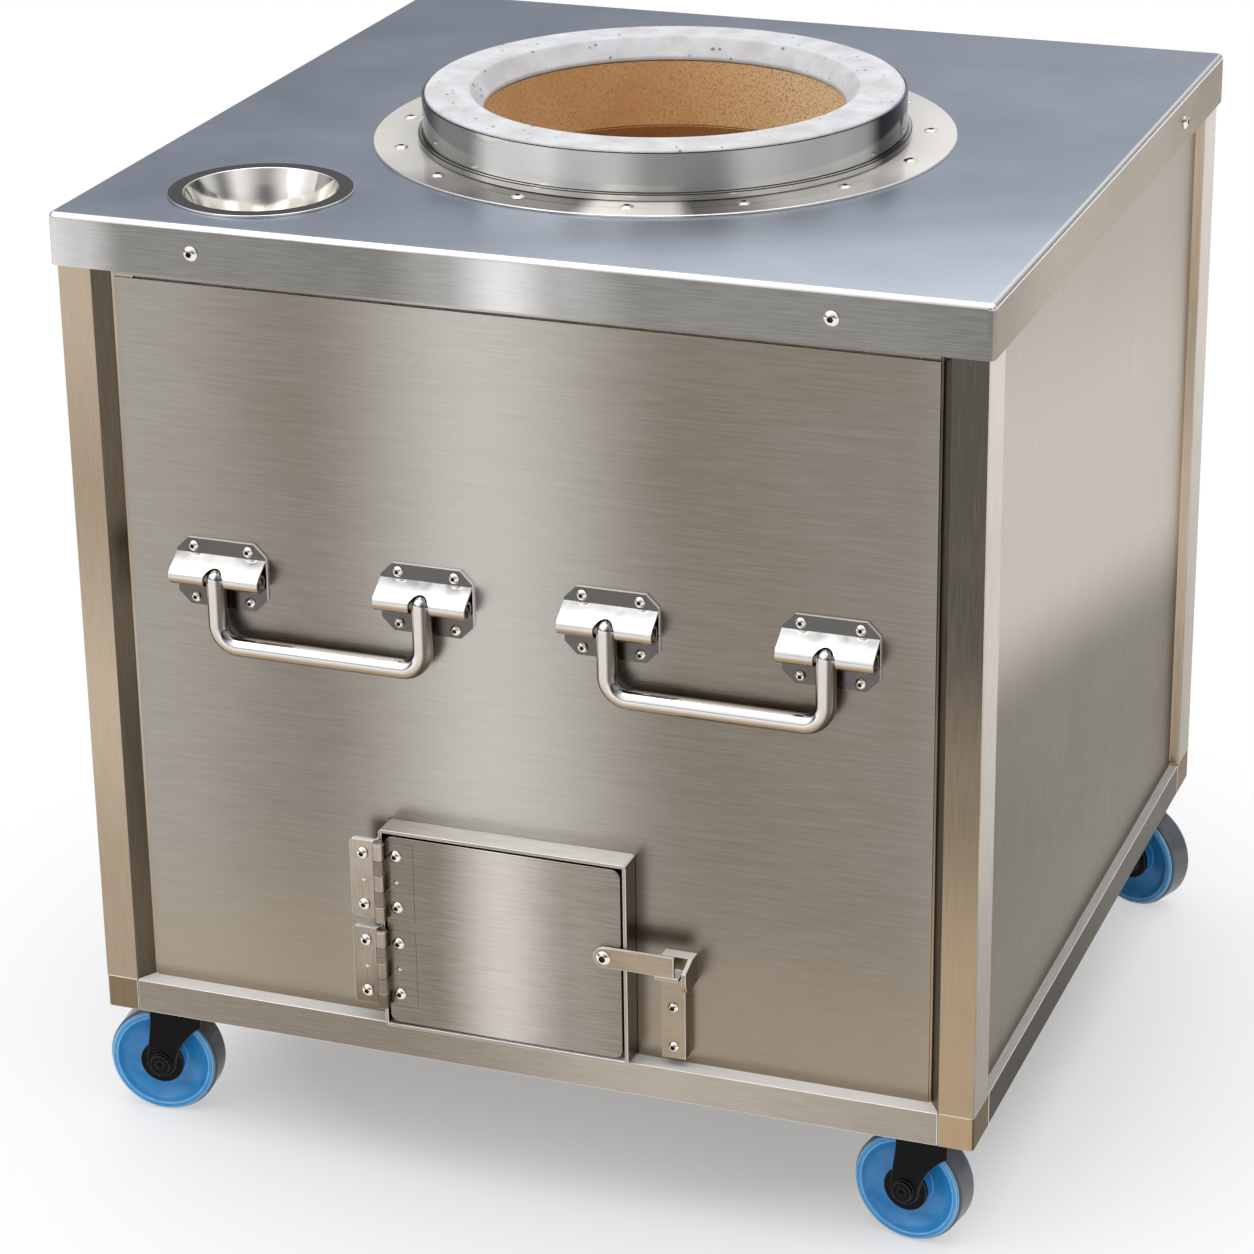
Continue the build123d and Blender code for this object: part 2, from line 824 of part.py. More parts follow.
with BuildPart() as door_panel:
    with BuildSketch(front_plane(door_face + door_depth)):
        with Locations((door_x, door_z)):
            RectangleRounded(door_width, door_height, door_corner)
    extrude(amount=door_depth)
    fillet(door_panel.faces().sort_by(Axis.Y)[0].edges(), door_bend)
    with BuildSketch(front_plane(door_face + door_depth)):
        with Locations((door_x, door_z)):
            RectangleRounded(
                door_width - 2 * door_edge_sheet,
                door_height - 2 * door_edge_sheet,
                door_corner - door_edge_sheet,
            )
    extrude(amount=door_depth - door_face_sheet, mode=Mode.SUBTRACT)
    with BuildSketch(front_plane(door_face)):
        for center in hinge_centers:
            with Locations((door_left + (door_leaf_width + casing_clearance) / 2, center)):
                Rectangle(door_leaf_width + casing_clearance, hinge_height + 2 * casing_clearance)
    extrude(amount=-door_leaf, mode=Mode.SUBTRACT)
    with BuildSketch(front_plane(door_face)):
        with Locations(*door_screw_points):
            Circle(door_shank_radius + hole_clearance)
        with Locations((latch_x, latch_z)):
            Circle(pivot_shank_radius + hole_clearance)
    extrude(amount=-door_face_sheet, mode=Mode.SUBTRACT)
door_panel.part.label = "door_panel"
export_step(door_panel.part, "parts/door_panel.step")

with BuildPart() as door_leaves:
    for center in hinge_centers:
        with BuildSketch(front_plane(door_leaf_back)):
            with Locations(((door_leaf_left + door_left + door_leaf_width) / 2, center)):
                Rectangle(door_left + door_leaf_width - door_leaf_left, hinge_height)
        extrude(amount=door_leaf)
        for base in knuckle_bases(center, fixed=False):
            with BuildSketch(Plane.XY.offset(base)):
                with Locations((hinge_x, hinge_y)):
                    Circle(hinge_radius)
                with Locations((door_leaf_left + door_leaf / 2, (hinge_y + door_leaf_back) / 2)):
                    Rectangle(door_leaf, door_leaf_back - hinge_y)
                with Locations((hinge_x, hinge_y)):
                    Circle(hinge_pin / 2 + running_clearance, mode=Mode.SUBTRACT)
            extrude(amount=knuckle_length)
    with BuildSketch(front_plane(door_face)):
        with Locations(*door_screw_points):
            Circle(door_shank_radius + hole_clearance)
    extrude(amount=-door_leaf, mode=Mode.SUBTRACT)
door_leaves.part.label = "hinge_leaves_door"
export_step(door_leaves.part, "parts/hinge_leaves_door.step")

leaf_front = door_face - seat_clearance - hinge_leaf
leaf_back = leaf_front + hinge_leaf
leaf_right = hinge_x - hinge_radius
leaf_left = leaf_right - hinge_leaf_width
with BuildPart() as fixed_leaves:
    for center in hinge_centers:
        with BuildSketch(front_plane(leaf_back)) as leaf_outline:
            with Locations((leaf_left + hinge_leaf_width / 2, center)):
                Rectangle(hinge_leaf_width, hinge_height)
            chamfer(leaf_outline.vertices().group_by(Axis.X)[0], hinge_leaf_chamfer)
        extrude(amount=hinge_leaf)
        for base in knuckle_bases(center, fixed=True):
            with BuildSketch(Plane.XY.offset(base)):
                with Locations((hinge_x, hinge_y)):
                    Circle(hinge_radius)
                with Locations((leaf_right + hinge_leaf / 2, (hinge_y + leaf_back) / 2)):
                    Rectangle(hinge_leaf, leaf_back - hinge_y)
                with Locations((hinge_x, hinge_y)):
                    Circle(hinge_pin / 2, mode=Mode.SUBTRACT)
            extrude(amount=knuckle_length)
    with BuildSketch(front_plane(leaf_front)):
        with Locations(*hinge_screw_points):
            Circle(door_shank_radius + hole_clearance)
    extrude(amount=-hinge_leaf, mode=Mode.SUBTRACT)
fixed_leaves.part.label = "hinge_leaves_fixed"
export_step(fixed_leaves.part, "parts/hinge_leaves_fixed.step")

with BuildPart() as hinge_pins:
    for center in hinge_centers:
        with BuildSketch(Plane.XY.offset(center - hinge_height / 2)):
            with Locations((hinge_x, hinge_y)):
                Circle(hinge_pin / 2)
        extrude(amount=hinge_height)
        with BuildSketch(Plane.XY.offset(center + hinge_height / 2)):
            with Locations((hinge_x, hinge_y)):
                Circle(hinge_radius - pin_head_inset)
        extrude(amount=pin_head_height)
hinge_pins.part.label = "hinge_pins"
export_step(hinge_pins.part, "parts/hinge_pins.step")

bracket_front = door_face - seat_clearance
with BuildPart() as hinge_brackets:
    for center in hinge_centers:
        with BuildSketch(Plane.XY.offset(center - hinge_height / 2)):
            with BuildLine():
                Polyline(
                    (leaf_left, bracket_front),
                    (frame_left, bracket_front),
                    (frame_left, panel_front),
                    (frame_left - hinge_bracket, panel_front),
                    (frame_left - hinge_bracket, bracket_front + hinge_bracket),
                    (leaf_left, bracket_front + hinge_bracket),
                    close=True,
                )
            make_face()
        extrude(amount=hinge_height)
    chamfer(hinge_brackets.edges().filter_by(Axis.Y).group_by(Axis.X)[0], hinge_leaf_chamfer)
    with BuildSketch(front_plane(bracket_front)):
        with Locations(*hinge_screw_points):
            Circle(door_shank_radius + hole_clearance)
    extrude(amount=-hinge_bracket, mode=Mode.SUBTRACT)
hinge_brackets.part.label = "hinge_brackets"
export_step(hinge_brackets.part, "parts/hinge_brackets.step")

hinge_screw = button_screw(
    door_head_radius, door_head_height, door_shank_radius, hinge_leaf + hinge_bracket
)
with BuildPart() as hinge_screws:
    with Locations(*[facing_front(x, leaf_front, z) for x, z in hinge_screw_points]):
        add(hinge_screw)
hinge_screws.part.label = "hinge_screws"
export_step(hinge_screws.part, "parts/hinge_screws.step")

door_screw = button_screw(door_head_radius, door_head_height, door_shank_radius, door_face_sheet)
with BuildPart() as door_screws:
    with Locations(*[facing_front(x, door_face, z) for x, z in door_screw_points]):
        add(door_screw)
door_screws.part.label = "door_screws"
export_step(door_screws.part, "parts/door_screws.step")

# Latch

latch_back = door_face - latch_stand
latch_front = latch_back - latch_sheet
with BuildPart() as latch_bar:
    with BuildSketch(front_plane(latch_back)):
        with Locations((latch_x, latch_z)):
            Circle(latch_height / 2)
        with Locations((latch_x + latch_reach / 2, latch_z)):
            Rectangle(latch_reach, latch_height)
        with Locations((latch_x, latch_z)):
            Circle(pivot_shank_radius + running_clearance, mode=Mode.SUBTRACT)
    extrude(amount=latch_sheet)
latch_bar.part.label = "latch_bar"
export_step(latch_bar.part, "parts/latch_bar.step")

latch_screw = button_screw(
    pivot_head_radius,
    pivot_head_height,
    pivot_shank_radius,
    hole_clearance + latch_sheet + latch_stand + door_face_sheet,
)
washer_radius = pivot_head_radius + pivot_washer_margin
with BuildPart() as latch_pivot:
    with Locations(facing_front(latch_x, latch_front - hole_clearance, latch_z)):
        add(latch_screw)
    with BuildSketch(front_plane(door_face)):
        with Locations((latch_x, latch_z)):
            Circle(washer_radius)
    extrude(amount=latch_stand - hole_clearance)
latch_pivot.part.label = "latch_pivot"
export_step(latch_pivot.part, "parts/latch_pivot.step")

keeper_face = panel_front - keeper_thickness
ear_right = latch_end + keeper_ear_gap + keeper_ear
ear_nose = keeper_face - keeper_ear_reach
ear_top = latch_z + keeper_rise
ear_bottom = latch_z - keeper_ear_drop
keeper_left = keeper_x - keeper_width / 2
with BuildPart() as latch_keeper:
    with BuildSketch(front_plane(panel_front)):
        with Locations((keeper_x, keeper_top - keeper_height / 2)):
            Rectangle(keeper_width, keeper_height)
        with Locations(((keeper_left + ear_right) / 2, (ear_top + ear_bottom) / 2)):
            Rectangle(ear_right - keeper_left, ear_top - ear_bottom)
    extrude(amount=keeper_thickness)
    with BuildSketch(front_plane(keeper_face)):
        with Locations((keeper_x, keeper_top - keeper_shelf / 2)):
            Rectangle(keeper_width, keeper_shelf)
    extrude(amount=keeper_face - latch_front)
    with BuildSketch(Plane(origin=(ear_right, 0, 0), x_dir=(0, 1, 0), z_dir=(1, 0, 0))):
        with BuildLine():
            ear_front_top = ear_top - keeper_ear_slope
            ear_front_low = ear_front_top - keeper_ear_front
            Polyline(
                (keeper_face, ear_bottom),
                (keeper_face, ear_top),
                (ear_nose, ear_front_top),
                (ear_nose, ear_front_low),
            )
            TangentArc((ear_nose, ear_front_low), (keeper_face, ear_bottom), tangent=(0, -1))
        make_face()
    extrude(amount=-keeper_ear)
    with BuildSketch(front_plane(keeper_face)):
        with Locations(*keeper_screw_points):
            Circle(small_shank_radius + hole_clearance)
    extrude(amount=-keeper_thickness, mode=Mode.SUBTRACT)
latch_keeper.part.label = "latch_keeper"
export_step(latch_keeper.part, "parts/latch_keeper.step")

keeper_screw = button_screw(
    small_head_radius, small_head_height, small_shank_radius, keeper_thickness + casing_sheet
)
with BuildPart() as keeper_screws:
    with Locations(*[facing_front(x, keeper_face, z) for x, z in keeper_screw_points]):
        add(keeper_screw)
keeper_screws.part.label = "keeper_screws"
export_step(keeper_screws.part, "parts/keeper_screws.step")

# Handles

plate_face = panel_front - handle_plate_sheet
pivot_y = plate_face - hood_stand
rod_radius = handle_rod / 2
hood_bore = hood_radius - hood_sheet
notch_radius = rod_radius + notch_clearance
slope = radians(hood_slope)

with BuildPart() as handle_plates:
    with BuildSketch(front_plane(panel_front)) as plate_outline:
        with Locations(*[(leg_x, handle_pivot_height) for leg_x in handle_legs]):
            Rectangle(handle_plate_width, handle_plate_height)
        chamfer(plate_outline.vertices(), handle_plate_chamfer)
        with Locations(*handle_screw_points):
            Circle(small_shank_radius + hole_clearance, mode=Mode.SUBTRACT)
    extrude(amount=handle_plate_sheet)
handle_plates.part.label = "handle_plates"
export_step(handle_plates.part, "parts/handle_plates.step")

handle_screw = button_screw(
    small_head_radius, small_head_height, small_shank_radius, handle_plate_sheet + casing_sheet
)
with BuildPart() as handle_screws:
    with Locations(*[facing_front(x, plate_face, z) for x, z in handle_screw_points]):
        add(handle_screw)
handle_screws.part.label = "handle_screws"
export_step(handle_screws.part, "parts/handle_screws.step")

# Seen from the end, the hood is a rolled tube with one leaf sloping up to the backplate
# and one running straight back to it.
with BuildPart() as handle_hoods:
    for leg_x in handle_legs:
        end_plane = Plane(
            origin=(leg_x - handle_plate_width / 2, plate_face, handle_pivot_height),
            x_dir=(0, -1, 0),
            z_dir=(-1, 0, 0),
        )
        with BuildSketch(end_plane):
            with Locations((hood_stand, 0)):
                Circle(hood_radius)
            with BuildLine():
                Polyline(
                    (0, hood_top),
                    (hood_stand + hood_radius * sin(slope), hood_radius * cos(slope)),
                    (hood_stand + hood_bore * sin(slope), hood_bore * cos(slope)),
                    (0, hood_top - hood_sheet / cos(slope)),
                    close=True,
                )
            make_face()
            with Locations((hood_stand / 2, -(hood_radius + hood_bore) / 2)):
                Rectangle(hood_stand, hood_sheet)
            with Locations((hood_stand, 0)):
                Circle(hood_bore, mode=Mode.SUBTRACT)
        extrude(amount=-handle_plate_width)
    with BuildSketch(front_plane(pivot_y + notch_radius)):
        for leg_x in handle_legs:
            with Locations((leg_x, handle_pivot_height)):
                Circle(notch_radius)
            with Locations((leg_x, handle_pivot_height - hood_top / 2)):
                Rectangle(2 * notch_radius, hood_top)
    extrude(amount=hood_radius + 2 * notch_radius, mode=Mode.SUBTRACT)
handle_hoods.part.label = "handle_hoods"
export_step(handle_hoods.part, "parts/handle_hoods.step")

trunnion_length = handle_plate_width - 2 * hood_end_gap
for name, side in casing_sides.items():
    left_leg = side * handle_x - handle_leg_spacing / 2
    right_leg = side * handle_x + handle_leg_spacing / 2
    grip_z = handle_pivot_height - handle_drop
    with BuildPart() as handle_bar:
        with BuildLine() as path:
            FilletPolyline(
                (left_leg, pivot_y, handle_pivot_height),
                (left_leg, pivot_y, grip_z),
                (right_leg, pivot_y, grip_z),
                (right_leg, pivot_y, handle_pivot_height),
                radius=handle_bend,
            )
        with BuildSketch(Plane(origin=(left_leg, pivot_y, handle_pivot_height), z_dir=(0, 0, -1))):
            Circle(rod_radius)
        sweep(path=path.line)
        with Locations((left_leg, pivot_y, handle_pivot_height), (right_leg, pivot_y, handle_pivot_height)):
            Sphere(rod_radius)
            Cylinder(hood_bore - running_clearance, trunnion_length, rotation=(0, 90, 0))
    handle_bar.part.label = f"handle_bar_{name}"
    export_step(handle_bar.part, f"parts/handle_bar_{name}.step")

# Casters

wheel_radius = wheel_diameter / 2
fork_inside = wheel_width / 2 + fork_clearance
fork_top = wheel_diameter + fork_top_clearance
leg_shoulder = fork_top - fork_shoulder
plate_bottom = caster_height - caster_plate_sheet
race_bottom = plate_bottom - caster_race_height
crown_top = race_bottom - caster_head_gap
flat_radius = wheel_radius - tyre_depth
hub_half = hub_width / 2
web_half = web_thickness / 2
web_foot = hub_radius + web_root
dish_half = wheel_width / 2 - rim_chamfer
dish_radius = flat_radius - rim_wall
caster_centers = {}
for corner, (side_x, side_y) in corners.items():
    caster_centers[corner] = corner_point(side_x, side_y, caster_inset - overhang, caster_inset - overhang)

with BuildPart() as caster_plates:
    with BuildSketch(Plane.XY.offset(plate_bottom)):
        with Locations(*caster_centers.values()):
            RectangleRounded(caster_plate_width, caster_plate_width, caster_plate_corner)
            with GridLocations(caster_bolt_spacing, caster_bolt_spacing, 2, 2):
                Circle(bolt_radius + hole_clearance, mode=Mode.SUBTRACT)
    extrude(amount=caster_plate_sheet)
    with BuildSketch(Plane.XY.offset(race_bottom)):
        with Locations(*caster_centers.values()):
            Circle(caster_race_radius)
    extrude(amount=caster_race_height)
    with BuildSketch(Plane.XY.offset(fork_top - fork_sheet - caster_head_gap)):
        with Locations(*caster_centers.values()):
            Circle(kingpin_radius)
    extrude(until=Until.NEXT)
    with BuildSketch(Plane.XY.offset(fork_top - fork_sheet - caster_head_gap)):
        with Locations(*caster_centers.values()):
            Circle(kingpin_head_radius)
    extrude(amount=-kingpin_head_height)
caster_plates.part.label = "caster_plates"
export_step(caster_plates.part, "parts/caster_plates.step")

with BuildPart() as caster_bolts:
    with BuildSketch(Plane.XY.offset(plate_bottom)):
        with Locations(*caster_centers.values()):
            with GridLocations(caster_bolt_spacing, caster_bolt_spacing, 2, 2):
                RegularPolygon(radius=bolt_head_radius, side_count=6)
    extrude(amount=-bolt_head_height)
    with BuildSketch(Plane.XY.offset(plate_bottom)):
        with Locations(*caster_centers.values()):
            with GridLocations(caster_bolt_spacing, caster_bolt_spacing, 2, 2):
                Circle(bolt_radius)
    extrude(amount=caster_plate_sheet + pad_thickness)
caster_bolts.part.label = "caster_bolts"
export_step(caster_bolts.part, "parts/caster_bolts.step")

for corner, (center_x, center_y) in caster_centers.items():
    turn = radians(caster_turns[corner])
    trail = Vector(cos(turn), sin(turn), 0)
    axle = Vector(sin(turn), -cos(turn), 0)
    king = Vector(center_x, center_y, 0)
    hub = king + trail * caster_trail + Vector(0, 0, wheel_radius)
    fork_plane = Plane(origin=king, x_dir=trail, z_dir=axle)
    wheel_plane = Plane(origin=hub, x_dir=axle, z_dir=-trail)
    wheel_axis = Axis(hub, axle)

    with BuildPart() as fork:
        for leg_side in (-1, 1):
            leg_start = leg_side * fork_inside
            with BuildSketch(fork_plane.offset(leg_start)):
                with BuildLine():
                    Polyline(
                        (-fork_leg_width / 2, leg_shoulder),
                        (-fork_leg_width / 2, fork_top),
                        (fork_leg_width / 2, fork_top),
                        (fork_leg_width / 2, leg_shoulder),
                        (caster_trail + fork_end_radius, wheel_radius),
                    )
                    ThreePointArc(
                        (caster_trail + fork_end_radius, wheel_radius),
                        (caster_trail, wheel_radius - fork_end_radius),
                        (caster_trail - fork_end_radius, wheel_radius),
                    )
                    SagittaArc(
                        (caster_trail - fork_end_radius, wheel_radius),
                        (-fork_leg_width / 2, leg_shoulder),
                        -fork_hollow,
                    )
                make_face()
            extrude(amount=leg_side * fork_sheet)
            with BuildSketch(fork_plane.offset(leg_start)):
                with Locations((caster_trail, wheel_radius)):
                    Circle(guard_radius)
            extrude(amount=-leg_side * guard_thickness)
        yoke_base = king + Vector(0, 0, fork_top - fork_sheet)
        with BuildSketch(Plane(origin=yoke_base, x_dir=trail, z_dir=(0, 0, 1))):
            Rectangle(fork_leg_width, 2 * (fork_inside + fork_sheet))
        extrude(amount=fork_sheet)
        with BuildSketch(Plane(origin=king + Vector(0, 0, fork_top), z_dir=(0, 0, 1))):
            Circle(caster_crown_radius)
        extrude(amount=crown_top - fork_top)
        with BuildSketch(Plane(origin=king + Vector(0, 0, crown_top), z_dir=(0, 0, 1))):
            Circle(kingpin_radius + running_clearance)
        extrude(amount=fork_top - fork_sheet - crown_top, mode=Mode.SUBTRACT)
        with BuildSketch(fork_plane.offset(-fork_inside - fork_sheet)):
            with Locations((caster_trail, wheel_radius)):
                Circle(axle_radius)
        extrude(amount=2 * (fork_inside + fork_sheet))
        for leg_side in (-1, 1):
            with BuildSketch(fork_plane.offset(leg_side * (fork_inside + fork_sheet))):
                with Locations((caster_trail, wheel_radius)):
                    Circle(axle_head_radius)
            extrude(amount=leg_side * axle_head_height)
            with BuildSketch(fork_plane.offset(leg_side * (fork_inside + fork_sheet + axle_head_height))):
                with Locations((caster_trail, wheel_radius)):
                    RegularPolygon(radius=axle_socket, side_count=6)
            extrude(amount=-leg_side * axle_socket_depth, mode=Mode.SUBTRACT)
    fork.part.label = f"caster_fork_{corner}"
    export_step(fork.part, f"parts/caster_fork_{corner}.step")

    bore_radius = axle_radius + running_clearance
    with BuildPart() as wheel:
        with BuildSketch(wheel_plane):
            with BuildLine():
                Polyline(
                    (-web_half, web_foot),
                    (-hub_half, hub_radius - hub_chamfer),
                    (-hub_half, bore_radius),
                    (hub_half, bore_radius),
                    (hub_half, hub_radius - hub_chamfer),
                    (web_half, web_foot),
                )
                SagittaArc((web_half, web_foot), (dish_half, dish_radius), web_hollow)
                Polyline(
                    (dish_half, dish_radius),
                    (wheel_width / 2, dish_radius + rim_chamfer),
                    (wheel_width / 2, wheel_radius - 2 * rim_step),
                    (wheel_width / 2 - rim_step, wheel_radius - rim_step),
                    (tyre_width / 2 + casing_clearance, wheel_radius - rim_step),
                    (tyre_width / 2 + casing_clearance, flat_radius),
                    (-tyre_width / 2 - casing_clearance, flat_radius),
                    (-tyre_width / 2 - casing_clearance, wheel_radius - rim_step),
                    (-wheel_width / 2 + rim_step, wheel_radius - rim_step),
                    (-wheel_width / 2, wheel_radius - 2 * rim_step),
                    (-wheel_width / 2, dish_radius + rim_chamfer),
                    (-dish_half, dish_radius),
                )
                SagittaArc((-dish_half, dish_radius), (-web_half, web_foot), web_hollow)
            make_face()
        revolve(axis=wheel_axis)
    wheel.part.label = f"caster_wheel_{corner}"
    export_step(wheel.part, f"parts/caster_wheel_{corner}.step")

    with BuildPart() as tyre:
        with BuildSketch(wheel_plane):
            with BuildLine():
                Polyline(
                    (-tyre_width / 2, -wheel_radius + tyre_depth),
                    (tyre_width / 2, -wheel_radius + tyre_depth),
                    (tyre_width / 2, -wheel_radius + tyre_edge),
                    (tyre_width / 2 - tyre_edge, -wheel_radius),
                    (tyre_edge - tyre_width / 2, -wheel_radius),
                    (-tyre_width / 2, -wheel_radius + tyre_edge),
                    close=True,
                )
            make_face()
        revolve(axis=wheel_axis)
    tyre.part.label = f"caster_tyre_{corner}"
    export_step(tyre.part, f"parts/caster_tyre_{corner}.step")
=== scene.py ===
import math

import bmesh
import bpy
from mathutils import Matrix, Vector


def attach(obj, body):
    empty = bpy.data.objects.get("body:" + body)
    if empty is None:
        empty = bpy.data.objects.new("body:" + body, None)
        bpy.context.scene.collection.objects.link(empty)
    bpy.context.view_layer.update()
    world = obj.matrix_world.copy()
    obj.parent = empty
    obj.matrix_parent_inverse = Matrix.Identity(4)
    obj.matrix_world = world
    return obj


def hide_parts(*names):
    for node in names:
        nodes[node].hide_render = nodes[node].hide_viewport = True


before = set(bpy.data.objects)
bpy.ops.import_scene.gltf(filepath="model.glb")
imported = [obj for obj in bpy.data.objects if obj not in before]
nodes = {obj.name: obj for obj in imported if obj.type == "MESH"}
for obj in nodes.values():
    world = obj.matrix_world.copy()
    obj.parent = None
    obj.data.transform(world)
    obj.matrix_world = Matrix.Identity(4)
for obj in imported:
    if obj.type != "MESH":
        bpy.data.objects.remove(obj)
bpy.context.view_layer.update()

finishes = {}
corners = ("front_left", "front_right", "back_left", "back_right")
across, along, upward = (1, 0, 0), (0, 1, 0), (0, 0, 1)


def linear(red, green, blue):
    # a colour as a screen shows it, 0 to 255, made the shader's own
    return tuple(((c / 255 + 0.055) / 1.055) ** 2.4 for c in (red, green, blue)) + (1,)


def addNode(tree, kind, settings=None, values=None):
    node = tree.nodes.new(kind)
    for key, value in (settings or {}).items():
        setattr(node, key, value)
    for key, value in (values or {}).items():
        node.inputs[key].default_value = value
    return node


def newMaterial(name, metal, roughness):
    material = bpy.data.materials.new(name)
    material.use_nodes = True
    tree = material.node_tree
    shader = tree.nodes["Principled BSDF"]
    shader.inputs["Metallic"].default_value = metal
    shader.inputs["Roughness"].default_value = roughness
    coords = addNode(tree, "ShaderNodeTexCoord")
    return material, tree, shader, coords.outputs["Object"]


def noiseField(tree, vector, scale, detail=2.0, stretch=(1, 1, 1)):
    mapping = addNode(tree, "ShaderNodeMapping", values={"Scale": stretch})
    tree.links.new(vector, mapping.inputs["Vector"])
    noise = addNode(tree, "ShaderNodeTexNoise", values={"Scale": scale, "Detail": detail})
    tree.links.new(mapping.outputs["Vector"], noise.inputs["Vector"])
    return noise.outputs["Fac"]


def remap(tree, value, low, high, start=0.3, end=0.7):
    # most of a noise field lies between 0.3 and 0.7
    limits = {"From Min": start, "From Max": end, "To Min": low, "To Max": high}
    node = addNode(tree, "ShaderNodeMapRange", values=limits)
    tree.links.new(value, node.inputs["Value"])
    return node.outputs["Result"]


def feed(tree, socket, source):
    # a socket takes another node's output or a plain value
    if isinstance(source, bpy.types.NodeSocket):
        tree.links.new(source, socket)
    else:
        socket.default_value = source


def arithmetic(tree, operation, first, second):
    node = addNode(tree, "ShaderNodeMath", {"operation": operation})
    feed(tree, node.inputs[0], first)
    feed(tree, node.inputs[1], second)
    return node.outputs[0]


def blendColours(tree, factor, first, second):
    mix = addNode(tree, "ShaderNodeMix", {"data_type": "RGBA"})
    feed(tree, mix.inputs[0], factor)
    feed(tree, mix.inputs[6], first)  # 6, 7 and output 2 are the colour ones
    feed(tree, mix.inputs[7], second)
    return mix.outputs[2]


def ramp(tree, value, stops):
    # stops are (place from 0 to 1, colour), eased from one to the next
    node = addNode(tree, "ShaderNodeValToRGB")
    node.color_ramp.interpolation = "EASE"
    band = node.color_ramp.elements
    while len(band) < len(stops):
        band.new(0.5)
    for element, (position, colour) in zip(band, stops):
        element.position = position
        element.color = (*colour[:3], 1)
    tree.links.new(value, node.inputs["Fac"])
    return node.outputs["Color"]


def toneCurve(tree, place, direction, stops):
    # tones from 0 to 1 at distances in metres along a direction
    reach = addNode(tree, "ShaderNodeVectorMath", {"operation": "DOT_PRODUCT"})
    reach.inputs[1].default_value = direction
    tree.links.new(place, reach.inputs[0])
    low, high = stops[0][0], stops[-1][0]
    share = remap(tree, reach.outputs["Value"], 0, 1, low, high)
    return ramp(tree, share, [((at - low) / (high - low), (tone,) * 3) for at, tone in stops])


def turnedTones(tree, place, centre, stops):
    # tones round an upright axis; 0.25 is the front, 0.5 the right, 0.75 the back
    shift = addNode(tree, "ShaderNodeMapping", values={"Location": (-centre[0], -centre[1], 0)})
    tree.links.new(place, shift.inputs["Vector"])
    turning = addNode(tree, "ShaderNodeTexGradient", {"gradient_type": "RADIAL"})
    tree.links.new(shift.outputs["Vector"], turning.inputs["Vector"])
    return ramp(tree, turning.outputs["Fac"], [(at, (tone,) * 3) for at, tone in stops])


def addBump(tree, shader, height, distance, strength=1.0, under=None):
    bump = addNode(tree, "ShaderNodeBump", values={"Strength": strength, "Distance": distance})
    tree.links.new(height, bump.inputs["Height"])
    if under:
        tree.links.new(under, bump.inputs["Normal"])
    tree.links.new(bump.outputs["Normal"], shader.inputs["Normal"])
    return bump.outputs["Normal"]


